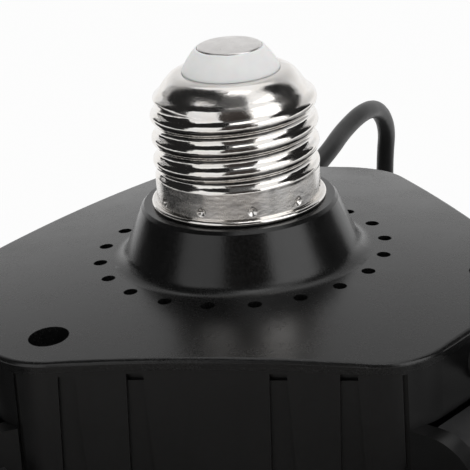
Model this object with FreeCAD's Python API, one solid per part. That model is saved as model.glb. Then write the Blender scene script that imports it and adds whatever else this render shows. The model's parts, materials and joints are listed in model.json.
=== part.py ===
import FreeCAD, Part
import math
import os

from FreeCAD import Placement, Rotation, Vector

# Garage light with three folding LED wings on a screw base.
# Millimetres. +Z runs up the screw axis towards the lamp holder. The origin lies on
# that axis, half way up the plain band of the screw shell. The hub has six sides:
# plain ones facing 30, 150 and 270 degrees, and wing sides facing 90, 210 and 330.
# Pieces of a wing side are drawn with X outward, Y along the side and Z up, then
# turned to their side. The wings are modelled folded down by REST_TILT.

# --- driving dimensions: hub outline
WING_FACINGS = (90.0, 210.0, 330.0)
PLAIN_FACINGS = (30.0, 150.0, 270.0)
COVER_PLAIN_SIDE = 39.5         # screw axis to each plain side of the cover
COVER_WING_SIDE = 46.3          # screw axis to each wing side of the cover
COVER_CORNER_RADIUS = 12.0
HOUSING_INSET = 0.3             # the housing stands this far inside the cover's edge

# --- top cover
COVER_CROWN_Z = -11.3           # top of the crowned face, on the axis
COVER_DOME_RADIUS = 385.0
COVER_EDGE_HEIGHT = 1.75        # edge that shows above the housing, the same all round
COVER_EDGE_FILLET = 0.7
COVER_WALL = 2.4
COVER_LIP_Z = -16.2             # foot of the lip that drops inside the housing
COVER_LIP_WALL = 1.4
COVER_LIP_CLEARANCE = 0.2
VENT_COUNT = 20
VENT_RADIUS = 1.1
VENT_RING_RADIUS = 22.9
VENT_FIRST_ANGLE = 12.75

# --- neck that carries the screw shell, one piece with the cover
NECK_RIM_RADIUS = 15.7
NECK_RIM_CHAMFER = 0.5
NECK_SLOPE = 21.5               # degrees off the axis
NECK_ROOT_FILLET = 2.5
NECK_WALL = 2.4
SPIGOT_TOP_Z = 1.4              # the shell is pressed and punched onto this spigot
SPIGOT_WALL = 2.0
SPIGOT_FIT = 0.05

# --- screw shell, insulator and centre contact
BAND_RADIUS = 13.0
BAND_LENGTH = 4.0
FLANGE_RADIUS = 13.87
FLANGE_HEIGHT = 0.9
THREAD_CREST_RADIUS = 13.2
THREAD_ROOT_RADIUS = 12.35
SHELL_SHEET = 0.35
SHOULDER_Z = 14.2               # where the thread ends and the shoulder begins
SHOULDER_TOP_Z = 18.4
SHELL_MOUTH_RADIUS = 7.8
SHOULDER_BULGE = (1.9, 1.8)     # the shoulder's arc passes this far inside its corner
THREAD_RUN_IN = 1.0             # height over which the band widens to the crest
INSULATOR_FIT = 0.05
INSULATOR_NECK_RADIUS = 7.7     # just above the shell's mouth
INSULATOR_NECK_HEIGHT = 0.2
INSULATOR_CONE_BULGE = 0.25     # how far the cone stands out of a straight one
INSULATOR_RIM_RADIUS = 6.0      # where the cone ends and the rounded rim begins
INSULATOR_RIM_ROUND = 0.55
INSULATOR_TOP_Z = 21.55         # seat of the contact inside the rim
INSULATOR_DEPTH = 3.2           # how far it reaches down inside the shell
CONTACT_RADIUS = 5.09
CONTACT_TOP_Z = 22.45
CONTACT_EDGE = 0.4
CONTACT_LAND = 1.1              # width of the raised ring round the dished middle
CONTACT_DISH = 0.2
CONTACT_SHANK_RADIUS = 1.2
CONTACT_SHANK_LENGTH = 8.5

# --- cover screws in their deep wells
WELL_RADIUS = 3.12
WELL_OUTWARD = 37.3             # place of each well on its wing side
WELL_SIDEWAYS = 14.5
WELL_FLOOR_Z = -20.4
WELL_BOSS_RADIUS = 5.0
COVER_SCREW_RADIUS = 1.45
COVER_SCREW_HEAD_RADIUS = 2.8
COVER_SCREW_HEAD_HEIGHT = 2.2
COVER_SCREW_HEAD_ROUND = 0.9
COVER_SCREW_LENGTH = 15.0
SCREW_HOLE_CLEARANCE = 0.4
PILOT_CLEARANCE = 0.05

# --- hub housing
HOUSING_WALL = 2.4
HOUSING_FOOT_Z = -41.6          # lower end of the upright walls and of the hinge lugs
DISH_DEPTH = 5.8
DISH_TAPER = 3.7
DISH_EDGE_FILLET = 1.5
RECESS_SIDE = 42.2              # axis to the set-back wall behind each wing root
RECESS_TOP_Z = -25.2
GROOVE_OFFSETS = (-20.9, -10.6, 10.6, 20.9)     # upright grooves across a plain side
NOTCHED_GROOVES = (-10.6, 10.6, 20.9)           # the ones with a notch at their head
GROOVE_HEAD_WIDTH = 2.6         # the grooves widen downwards
GROOVE_FOOT_WIDTH = 4.4
GROOVE_DEPTH = 0.7
GROOVE_TOP_Z = -16.4
NOTCH_WIDTH = 2.6
NOTCH_TOP_Z = -15.85
NOTCH_HEIGHT = 1.3
NOTCH_DEPTH = 1.5
SEAM_OFFSET = 28.9              # narrow upright seam on each corner
SEAM_WIDTH = 0.7
SEAM_DEPTH = 2.1                # measured from the flat of the side

# --- hinges
HINGE_OUTWARD = 49.3            # screw axis to hinge axis
HINGE_Z = -34.4
REST_TILT = 30.0                # degrees that each wing hangs below the horizontal
KNUCKLE_RADIUS = 6.5            # also half the wing's thickness
KNUCKLE_HALF_WIDTH = 14.8
LUG_INNER_FACE = 15.5
LUG_THICKNESS = 3.2
LUG_RADIUS = 7.2
BOLT_RADIUS = 2.0
BOLT_RUNNING_CLEARANCE = 0.06
BOLT_HEAD_RADIUS = 3.7
BOLT_HEAD_HEIGHT = 2.4
BOLT_HEAD_ROUND = 1.2
BOLT_TAIL = 0.8                 # thread that stands out of the nut
NUT_ACROSS_FLATS = 7.0
NUT_HEIGHT = 3.2
WASHER_RADIUS = 5.5
WASHER_GAP = 0.05

# --- wings
WING_LENGTH = 118.0             # root edge to tip
SHOULDER_START = 17.0           # root edge to the wide part
SHOULDER_HALF_WIDTH = 27.0
TIP_HALF_WIDTH = 44.5
TIP_ARC_RADIUS = 160.8
INNER_CORNER_RADIUS = 9.0
TIP_CORNER_RADIUS = 15.0
PLATE_THICKNESS = 3.2
RIM_WALL = 2.6
LEDGE_WALL = 4.0
LENS_THICKNESS = 2.5
LENS_CLEARANCE = 0.3
LENS_HOLLOW = 1.0               # shallow hollow in the lens's inner face
LENS_BORDER = 6.0
FIN_COUNT = 11
FIN_PITCH = 7.0
FIN_THICKNESS = 1.8
FIN_START = 21.0
FIN_TIP_GAP = 3.5
FIN_END_HEIGHT = 1.5
FIN_CREST_HEIGHT = 9.0
FIN_SIDE_INSET = 2.6
FIN_SINK = 0.3                  # the fins start this far inside the plate

# --- LED boards
BOARD_THICKNESS = 1.6
BOARD_GAP = 0.6
BOARD_SCREW_RADIUS = 1.4
BOARD_SCREW_HEAD_RADIUS = 2.5
BOARD_SCREW_HEAD_HEIGHT = 1.5
BOARD_SCREW_BITE = 2.4
CHIP_LENGTH = 3.5
CHIP_WIDTH = 2.8
CHIP_HEIGHT = 0.8
CHIP_ROWS = 8
CHIP_MARGINS = (17.0, 14.0)     # shoulder to the first row, last row to the tip
BOARD_SCREW_ROWS = (0.5, 3.5, 6.5)      # in row pitches from the first row
CHIP_COLUMNS = 6
CHIP_COLUMN_PITCH = 9.0
LENS_SCREW_NEAR = (8.5, 7.5)    # outward of the shoulder, inward of its half width
LENS_SCREW_FAR = (14.0, 11.5)   # inward of the tip, inward of its half width
LENS_BOSS_RADIUS = 3.6
LENS_SCREW_RADIUS = 1.3
LENS_SCREW_HEAD_RADIUS = 2.5
LENS_SCREW_HEAD_HEIGHT = 1.3
LENS_SCREW_BITE = 5.0
HEAD_CLEARANCE = 0.25

# --- cables and their grommets
CABLE_RADIUS = 1.7
GROMMET_SIDEWAYS = -1.5
GROMMET_Z = -19.5
GROMMET_PLUG_RADIUS = 2.6
GROMMET_FLANGE_RADIUS = 3.6
GROMMET_FLANGE_THICKNESS = 1.2
GROMMET_INNER_RADIUS = 3.1
GROMMET_INNER_THICKNESS = 1.0
GROMMET_FIT = 0.05
NOSE_LENGTH = 5.0
NOSE_ROOT_RADIUS = 2.9
NOSE_TIP_RADIUS = 2.3
GROMMET_CHAMFER = (0.6, 0.4)    # on the gland's flange: across, down
GLAND_OUT = 46.0                # root edge to the gland on the wing
GLAND_SIDEWAYS = -13.5
GLAND_BOSS_RADIUS = 5.6
GLAND_BOSS_HEIGHT = 1.5
GLAND_FLANGE_RADIUS = 4.4
GLAND_FLANGE_HEIGHT = 1.5
GLAND_HEIGHT = 5.0              # cable end above the wing's back
GLAND_NOSE_RADIUS = 3.2
GLAND_TIP_RADIUS = 2.6
GLAND_CLEARING = 7.6            # fins stop this far from the gland's centre
GLAND_RUN = 8.5                 # straight approach to the gland
CABLE_ARC_SHARE = 0.45
# points of the route between the grommet and the gland: outward, sideways, up
CABLE_ROUTE = (
    (58.0, -7.0, -15.9),
    (66.5, -9.0, -14.4),
    (75.0, -12.0, -13.4),
    (83.0, -14.0, -15.4),
    (89.5, -15.0, -21.4),
    (92.5, -14.0, -28.4),
)

# --- driver inside the hub
DRIVER_TOP_Z = -34.5            # component side of the driver board
DRIVER_PLAIN_SIDE = 33.5
DRIVER_WING_SIDE = 36.5
DRIVER_CORNER_RADIUS = 6.0
DRIVER_BOSS_CLEARANCE = 0.8
POST_RADIUS = 3.4
POST_RING_RADIUS = 27.0
DRIVER_SCREW_LENGTH = 6.0
TRANSFORMER_CORE = (22.0, 14.0, 15.0)
CORE_LEG = 2.5                  # outer legs of the ferrite frame
CORE_YOKE = 3.0                 # its upper and lower bars
CORE_LIMB_RADIUS = 4.0          # round middle limb inside the coil
COIL_CLEARANCE = 0.2
CAPACITORS = ((-17.0, -14.0, 5.0, 15.0), (-5.0, -20.0, 4.0, 12.0))     # x, y, radius, height
CAPACITOR_ROUND = 0.6
FILM_CAPACITOR = (13.0, 6.0, 11.0)
FILM_CAPACITOR_PLACE = (10.0, -19.0)
CHOKE_RING_RADIUS = 5.0
CHOKE_WIRE_RADIUS = 2.3
CHOKE_PLACE = (13.0, 17.5)
RECTIFIER = (8.0, 6.5, 2.5)
RECTIFIER_PLACE = (-22.0, 3.0)
CONTROLLER = (5.0, 6.2, 1.6)
CONTROLLER_PLACE = (-14.0, 13.0)
CONNECTOR = (6.0, 7.0, 6.0)
CONNECTOR_OUTWARD = 28.0
CONNECTOR_SIDEWAYS = -4.0

# --- values that follow from the ones above
NECK_RIM_Z = -BAND_LENGTH / 2 - FLANGE_HEIGHT
SEAM_CROWN_Z = COVER_CROWN_Z - COVER_EDGE_HEIGHT        # cover and housing meet on a crown
HOUSING_PLAIN_SIDE = COVER_PLAIN_SIDE - HOUSING_INSET
HOUSING_WING_SIDE = COVER_WING_SIDE - HOUSING_INSET
HOUSING_CORNER_RADIUS = COVER_CORNER_RADIUS - HOUSING_INSET
WING_TOP = KNUCKLE_RADIUS
WING_BOTTOM = -KNUCKLE_RADIUS
ROOT_EDGE = -KNUCKLE_RADIUS     # root edge measured from the hinge axis
TRAY_TOP = WING_TOP - PLATE_THICKNESS
CHIP_FIRST_ROW = SHOULDER_START + CHIP_MARGINS[0]
CHIP_ROW_PITCH = (WING_LENGTH - CHIP_MARGINS[1] - CHIP_FIRST_ROW) / (CHIP_ROWS - 1)
LENS_TOP = WING_BOTTOM + LENS_THICKNESS
WELL_BOSS_FOOT_Z = WELL_FLOOR_Z - COVER_WALL
LUG_OUTER_FACE = LUG_INNER_FACE + LUG_THICKNESS
UP = Vector(0, 0, 1)


# ---------------------------------------------------------------------------
# drawing helpers
# ---------------------------------------------------------------------------

def rounded_polygon(points, radius, z):
    """Closed wire at height z through a convex polygon whose corners are arcs."""
    corners = [Vector(x, y, z) for x, y in points]
    count = len(corners)
    starts, mids, ends = [], [], []
    for i, corner in enumerate(corners):
        back = (corners[i - 1] - corner).normalize()
        ahead = (corners[(i + 1) % count] - corner).normalize()
        half = back.getAngle(ahead) / 2
        cut = radius / math.tan(half)
        bisector = (back + ahead).normalize()
        starts.append(corner + back * cut)
        ends.append(corner + ahead * cut)
        mids.append(corner + bisector * (radius / math.sin(half) - radius))
    edges = []
    for i in range(count):
        edges.append(Part.Arc(starts[i], mids[i], ends[i]).toShape())
        edges.append(Part.LineSegment(ends[i], starts[(i + 1) % count]).toShape())
    return Part.Wire(edges)


def hub_outline(plain_side, wing_side, radius, z):
    """Six-sided hub outline: plain and wing sides at their distances from the axis."""
    sides = []
    for plain, wing in zip(PLAIN_FACINGS, WING_FACINGS):
        sides.append((math.radians(plain), plain_side))
        sides.append((math.radians(wing), wing_side))
    points = []
    for i, (angle, distance) in enumerate(sides):
        next_angle, next_distance = sides[(i + 1) % len(sides)]
        spread = math.sin(next_angle - angle)
        x = (distance * math.sin(next_angle) - next_distance * math.sin(angle)) / spread
        y = (next_distance * math.cos(angle) - distance * math.cos(next_angle)) / spread
        points.append((x, y))
    return rounded_polygon(points, radius, z)


def hub_prism(plain_side, wing_side, radius, low, high):
    wire = hub_outline(plain_side, wing_side, radius, low)
    return Part.Face(wire).extrude(UP * (high - low))


def revolved(points):
    """Solid turned about Z from straight lines through (radius, z) points."""
    path = [Vector(r, 0, z) for r, z in points]
    return Part.Face(Part.makePolygon(path + path[:1])).revolve(Vector(), UP, 360)


def cylinder(radius, low, high, x=0.0, y=0.0):
    return Part.makeCylinder(radius, high - low, Vector(x, y, low))


def box(size, x, y, low):
    """Box of a length, width and height, centred on x, y and standing on low."""
    length, width, height = size
    return Part.makeBox(length, width, height, Vector(x - length / 2, y - width / 2, low))


def upright_edges(prism):
    """Straight edges of a prism that run along Z."""
    return [edge for edge in prism.Edges if len(edge.Vertexes) == 2
            and math.hypot(edge.Vertexes[0].X - edge.Vertexes[1].X,
                           edge.Vertexes[0].Y - edge.Vertexes[1].Y) < 1e-6]


def turned_to(shape, facing):
    """The shape drawn with X outward, turned to a side that faces an angle."""
    placed = shape.copy()
    placed.rotate(Vector(), UP, facing)
    return placed


def on_wing(shape, facing):
    """The shape drawn about a level hinge axis, folded to rest and put on its side."""
    placed = shape.copy()
    placed.rotate(Vector(), Vector(0, 1, 0), REST_TILT)
    placed.translate(Vector(HINGE_OUTWARD, 0, HINGE_Z))
    return turned_to(placed, facing)


def save(shape, node):
    """One clean closed shape per node, as parts/NODE.step."""
    if not shape.isValid():
        print("INVALID", node)
    shape.exportStep("parts/%s.step" % node)


def group(solids):
    return Part.makeCompound(solids)


# ---------------------------------------------------------------------------
# screw base
# ---------------------------------------------------------------------------

def screw_shell():
    """Thin shell: beaded flange, plain band, threaded length and domed shoulder."""
    low = NECK_RIM_Z
    band_low = -BAND_LENGTH / 2
    band_high = BAND_LENGTH / 2
    thread_low = band_high + THREAD_RUN_IN
    crest = THREAD_CREST_RADIUS
    inner = THREAD_ROOT_RADIUS - SHELL_SHEET
    band_inner = BAND_RADIUS - SHELL_SHEET
    mouth_low = SHOULDER_TOP_Z - SHELL_SHEET
    in_by, down_by = SHOULDER_BULGE
    shoulder_bulge = Vector(crest - in_by, 0, SHOULDER_TOP_Z - down_by)
    inner_bulge = Vector(inner - in_by, 0, mouth_low - down_by)
    outline = [
        Part.LineSegment(Vector(band_inner, 0, low), Vector(FLANGE_RADIUS, 0, low)),
        Part.Arc(Vector(FLANGE_RADIUS, 0, low),
                 Vector(FLANGE_RADIUS - 0.1, 0, (low + band_low) / 2),
                 Vector(BAND_RADIUS, 0, band_low)),
        Part.LineSegment(Vector(BAND_RADIUS, 0, band_low), Vector(BAND_RADIUS, 0, band_high)),
        Part.LineSegment(Vector(BAND_RADIUS, 0, band_high), Vector(crest, 0, thread_low)),
        Part.LineSegment(Vector(crest, 0, thread_low), Vector(crest, 0, SHOULDER_Z)),
        Part.Arc(Vector(crest, 0, SHOULDER_Z), shoulder_bulge,
                 Vector(SHELL_MOUTH_RADIUS, 0, SHOULDER_TOP_Z)),
        Part.LineSegment(Vector(SHELL_MOUTH_RADIUS, 0, SHOULDER_TOP_Z),
                         Vector(SHELL_MOUTH_RADIUS, 0, mouth_low)),
        Part.Arc(Vector(SHELL_MOUTH_RADIUS, 0, mouth_low), inner_bulge,
                 Vector(inner, 0, SHOULDER_Z)),
        Part.LineSegment(Vector(inner, 0, SHOULDER_Z), Vector(inner, 0, band_high)),
        Part.LineSegment(Vector(inner, 0, band_high), Vector(band_inner, 0, band_high)),
        Part.LineSegment(Vector(band_inner, 0, band_high), Vector(band_inner, 0, low)),
    ]
    wire = Part.Wire([piece.toShape() for piece in outline])
    return Part.Face(wire).revolve(Vector(), UP, 360)


def base_insulator():
    """White plug in the shell's mouth, coned up to a rounded rim round the contact."""
    radius = SHELL_MOUTH_RADIUS - INSULATOR_FIT
    foot = SHOULDER_TOP_Z - INSULATOR_DEPTH
    bore = CONTACT_SHANK_RADIUS + PILOT_CLEARANCE
    seat = CONTACT_RADIUS + INSULATOR_FIT
    neck = INSULATOR_NECK_RADIUS
    cone_start = Vector(neck, 0, SHOULDER_TOP_Z + INSULATOR_NECK_HEIGHT)
    cone_end = Vector(INSULATOR_RIM_RADIUS, 0, INSULATOR_TOP_Z)
    slant = (cone_end - cone_start).normalize()
    bulge = (cone_start + cone_end) / 2 + Vector(slant.z, 0, -slant.x) * INSULATOR_CONE_BULGE
    rim_top = Vector(seat, 0, INSULATOR_TOP_Z + INSULATOR_RIM_ROUND)
    rim_bend = Vector((cone_end.x + seat) / 2 + INSULATOR_RIM_ROUND / 4, 0,
                      INSULATOR_TOP_Z + INSULATOR_RIM_ROUND * 3 / 4)
    base = Part.makePolygon([
        rim_top, Vector(seat, 0, INSULATOR_TOP_Z), Vector(bore, 0, INSULATOR_TOP_Z),
        Vector(bore, 0, foot), Vector(radius, 0, foot), Vector(radius, 0, SHOULDER_TOP_Z),
        Vector(neck, 0, SHOULDER_TOP_Z), cone_start,
    ])
    cone = Part.Arc(cone_start, bulge, cone_end).toShape()
    rim = Part.Arc(cone_end, rim_bend, rim_top).toShape()
    return Part.Face(Part.Wire(base.Edges + [cone, rim])).revolve(Vector(), UP, 360)


def centre_contact():
    """Riveted eyelet disc, dished in the middle, with a shank through the insulator."""
    foot = INSULATOR_TOP_Z - CONTACT_SHANK_LENGTH
    ring = CONTACT_RADIUS - CONTACT_EDGE
    dish = ring - CONTACT_LAND
    return revolved([
        (0, foot), (CONTACT_SHANK_RADIUS, foot), (CONTACT_SHANK_RADIUS, INSULATOR_TOP_Z),
        (CONTACT_RADIUS, INSULATOR_TOP_Z), (CONTACT_RADIUS, CONTACT_TOP_Z - CONTACT_EDGE),
        (ring, CONTACT_TOP_Z), (dish, CONTACT_TOP_Z),
        (dish - CONTACT_DISH, CONTACT_TOP_Z - CONTACT_DISH), (0, CONTACT_TOP_Z - CONTACT_DISH),
    ])


# ---------------------------------------------------------------------------
# top cover with its neck
# ---------------------------------------------------------------------------

def dome_height(radius, crown):
    return crown - COVER_DOME_RADIUS + math.sqrt(COVER_DOME_RADIUS ** 2 - radius ** 2)


def domed_disc(crown):
    """Disc wider than the hub, crowned above and flat below the hub's walls."""
    rim = COVER_PLAIN_SIDE + COVER_WING_SIDE
    low = HOUSING_FOOT_Z - COVER_WALL
    middle = rim / 2
    top = Part.Arc(Vector(rim, 0, dome_height(rim, crown)),
                   Vector(middle, 0, dome_height(middle, crown)),
                   Vector(0, 0, crown)).toShape()
    base = Part.makePolygon([
        Vector(0, 0, crown), Vector(0, 0, low), Vector(rim, 0, low),
        Vector(rim, 0, dome_height(rim, crown)),
    ])
    return Part.Face(Part.Wire(base.Edges + [top])).revolve(Vector(), UP, 360)


def neck_outside():
    """Flared neck with a hollow fillet where it runs out into the cover."""
    slope = math.radians(NECK_SLOPE)
    fillet = NECK_ROOT_FILLET
    flat_z = dome_height(NECK_RIM_RADIUS + 2 * fillet, COVER_CROWN_Z)
    fillet_z = flat_z + fillet * (1 - math.sin(slope))
    fillet_r = NECK_RIM_RADIUS + (NECK_RIM_Z - fillet_z) * math.tan(slope)
    centre = Vector(fillet_r + fillet * math.cos(slope), 0, flat_z + fillet)
    half_way = (math.pi + slope + 1.5 * math.pi) / 2
    bend = centre + Vector(math.cos(half_way), 0, math.sin(half_way)) * fillet
    foot = flat_z - COVER_WALL / 2
    start = Vector(fillet_r, 0, fillet_z)
    finish = Vector(centre.x, 0, flat_z)
    top = Part.makePolygon([
        finish, Vector(centre.x, 0, foot), Vector(0, 0, foot), Vector(0, 0, NECK_RIM_Z),
        Vector(NECK_RIM_RADIUS - NECK_RIM_CHAMFER, 0, NECK_RIM_Z),
        Vector(NECK_RIM_RADIUS, 0, NECK_RIM_Z - NECK_RIM_CHAMFER), start,
    ])
    arc = Part.Arc(start, bend, finish).toShape()
    return Part.Face(Part.Wire(top.Edges + [arc])).revolve(Vector(), UP, 360)


def neck_hollow():
    """Space inside the neck, open to the hub below and to the shell above."""
    spigot_bore = BAND_RADIUS - SHELL_SHEET - SPIGOT_FIT - SPIGOT_WALL
    low = COVER_LIP_Z - 1
    foot = COVER_CROWN_Z - COVER_WALL
    throat = NECK_RIM_Z - NECK_WALL
    widest = NECK_RIM_RADIUS - NECK_WALL + (throat - foot) * math.tan(math.radians(NECK_SLOPE))
    return revolved([
        (0, low), (widest, low), (widest, foot),
        (NECK_RIM_RADIUS - NECK_WALL, throat), (spigot_bore, throat),
        (spigot_bore, SPIGOT_TOP_Z + 1), (0, SPIGOT_TOP_Z + 1),
    ])


def cover_edges(shape):
    """Upper rim edges of the cover, the ones that are rounded over."""
    reach = COVER_PLAIN_SIDE - 1
    low = COVER_LIP_Z + 0.1
    edges = []
    for edge in shape.Edges:
        ends = [edge.valueAt(edge.FirstParameter), edge.valueAt(edge.LastParameter)]
        if all(end.z > low and math.hypot(end.x, end.y) > reach for end in ends):
            edges.append(edge)
    return edges


def top_cover():
    """Crowned plate rebated round its edge to sit on the housing, with neck and wells."""
    plain, wing, corner = COVER_PLAIN_SIDE, COVER_WING_SIDE, COVER_CORNER_RADIUS
    low, high = COVER_LIP_Z, COVER_CROWN_Z + 1
    block = hub_prism(plain, wing, corner, low, high)
    cover = block.common(domed_disc(COVER_CROWN_Z))
    cover = cover.makeFillet(COVER_EDGE_FILLET, cover_edges(cover))

    seat = HOUSING_INSET + HOUSING_WALL + COVER_LIP_CLEARANCE
    ring = hub_prism(plain + 1, wing + 1, corner + 1, low - 1, high)
    ring = ring.cut(hub_prism(plain - seat, wing - seat, corner - seat, low - 1, high))
    cover = cover.cut(ring.common(domed_disc(SEAM_CROWN_Z)))
    inset = seat + COVER_LIP_WALL
    hollow = hub_prism(plain - inset, wing - inset, corner - inset, low - 1, high)
    cover = cover.cut(hollow.common(domed_disc(COVER_CROWN_Z - COVER_WALL)))

    cover = cover.fuse(neck_outside())
    spigot = cylinder(BAND_RADIUS - SHELL_SHEET - SPIGOT_FIT, NECK_RIM_Z - NECK_WALL, SPIGOT_TOP_Z)
    cover = cover.fuse(spigot).cut(neck_hollow())

    for facing in WING_FACINGS:
        boss = cylinder(WELL_BOSS_RADIUS, WELL_BOSS_FOOT_Z, COVER_CROWN_Z,
                        WELL_OUTWARD, WELL_SIDEWAYS)
        boss = boss.common(domed_disc(COVER_CROWN_Z - COVER_WALL / 2))
        cover = cover.fuse(turned_to(boss, facing))
    for facing in WING_FACINGS:
        well = cylinder(WELL_RADIUS, WELL_FLOOR_Z, high, WELL_OUTWARD, WELL_SIDEWAYS)
        hole = cylinder(COVER_SCREW_RADIUS + SCREW_HOLE_CLEARANCE, WELL_BOSS_FOOT_Z - 1, high,
                        WELL_OUTWARD, WELL_SIDEWAYS)
        cover = cover.cut(turned_to(well.fuse(hole), facing))
    vents = []
    for i in range(VENT_COUNT):
        angle = math.radians(VENT_FIRST_ANGLE + i * 360.0 / VENT_COUNT)
        vents.append(cylinder(VENT_RADIUS, low, high,
                              VENT_RING_RADIUS * math.cos(angle),
                              VENT_RING_RADIUS * math.sin(angle)))
    return cover.cut(group(vents)).removeSplitter()


def cover_screws():
    """Three long screws that stand in the wells and bite into the housing's bosses."""
    screws = []
    for facing in WING_FACINGS:
        head = cylinder(COVER_SCREW_HEAD_RADIUS, WELL_FLOOR_Z,
                        WELL_FLOOR_Z + COVER_SCREW_HEAD_HEIGHT, WELL_OUTWARD, WELL_SIDEWAYS)
        head = head.makeFillet(COVER_SCREW_HEAD_ROUND, [head.Edges[0]])
        shank = cylinder(COVER_SCREW_RADIUS, WELL_FLOOR_Z - COVER_SCREW_LENGTH, WELL_FLOOR_Z,
                         WELL_OUTWARD, WELL_SIDEWAYS)
        screws.append(turned_to(head.fuse(shank).removeSplitter(), facing))
    return group(screws)


# ---------------------------------------------------------------------------
# hub housing
# ---------------------------------------------------------------------------

def hinge_lug(inner_face):
    """One ear beside a wing root, rounded over its top and about the hinge axis."""
    rise = RECESS_TOP_Z - HINGE_Z
    nose = Vector(HINGE_OUTWARD + LUG_RADIUS, inner_face, HINGE_Z)
    root = Vector(RECESS_SIDE - HOUSING_WALL, inner_face, RECESS_TOP_Z)
    brow = Vector(nose.x - rise, inner_face, RECESS_TOP_Z)
    diagonal = rise * math.sqrt(0.5)
    bend = Vector(brow.x + diagonal, inner_face, HINGE_Z + diagonal)
    slant = LUG_RADIUS * math.sqrt(0.5)
    under = Vector(HINGE_OUTWARD + slant, inner_face, HINGE_Z - slant)
    foot = Vector(HINGE_OUTWARD, inner_face, HINGE_Z - LUG_RADIUS)
    heel = Vector(root.x, inner_face, foot.z)
    wire = Part.Wire([
        Part.LineSegment(root, brow).toShape(),
        Part.Arc(brow, bend, nose).toShape(),
        Part.Arc(nose, under, foot).toShape(),
        Part.LineSegment(foot, heel).toShape(),
        Part.LineSegment(heel, root).toShape(),
    ])
    return Part.Face(wire).extrude(Vector(0, LUG_THICKNESS, 0))


def hinge_bore():
    reach = LUG_OUTER_FACE + 1
    return Part.makeCylinder(BOLT_RADIUS + BOLT_RUNNING_CLEARANCE, 2 * reach,
                             Vector(HINGE_OUTWARD, -reach, HINGE_Z), Vector(0, 1, 0))


def groove(sideways):
    """Shallow trapezoid prism let into the face of a plain side."""
    x = HOUSING_PLAIN_SIDE - GROOVE_DEPTH
    head, foot = GROOVE_HEAD_WIDTH / 2, GROOVE_FOOT_WIDTH / 2
    corners = [
        Vector(x, sideways - foot, HOUSING_FOOT_Z), Vector(x, sideways + foot, HOUSING_FOOT_Z),
        Vector(x, sideways + head, GROOVE_TOP_Z), Vector(x, sideways - head, GROOVE_TOP_Z),
    ]
    face = Part.Face(Part.makePolygon(corners + corners[:1]))
    return face.extrude(Vector(2 * GROOVE_DEPTH, 0, 0))


def wall_relief():
    """Grooves, notches and seams on one plain side, drawn facing +X."""
    side = HOUSING_PLAIN_SIDE
    length = GROOVE_TOP_Z - HOUSING_FOOT_Z
    cuts = [groove(sideways) for sideways in GROOVE_OFFSETS]
    for sideways in NOTCHED_GROOVES:
        cuts.append(box((2 * NOTCH_DEPTH, NOTCH_WIDTH, NOTCH_HEIGHT), side, sideways,
                        NOTCH_TOP_Z - NOTCH_HEIGHT))
    for sideways in (SEAM_OFFSET, -SEAM_OFFSET):
        cuts.append(box((2 * SEAM_DEPTH, SEAM_WIDTH, length), side, sideways, HOUSING_FOOT_Z))
    return cuts


def housing_dish(plain_side, wing_side, radius, taper, low):
    """Tapered floor below the upright walls."""
    upper = hub_outline(plain_side, wing_side, radius, HOUSING_FOOT_Z)
    lower = hub_outline(plain_side - taper, wing_side - taper, radius - taper / 2, low)
    return Part.makeLoft([upper, lower], True, True)


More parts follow.
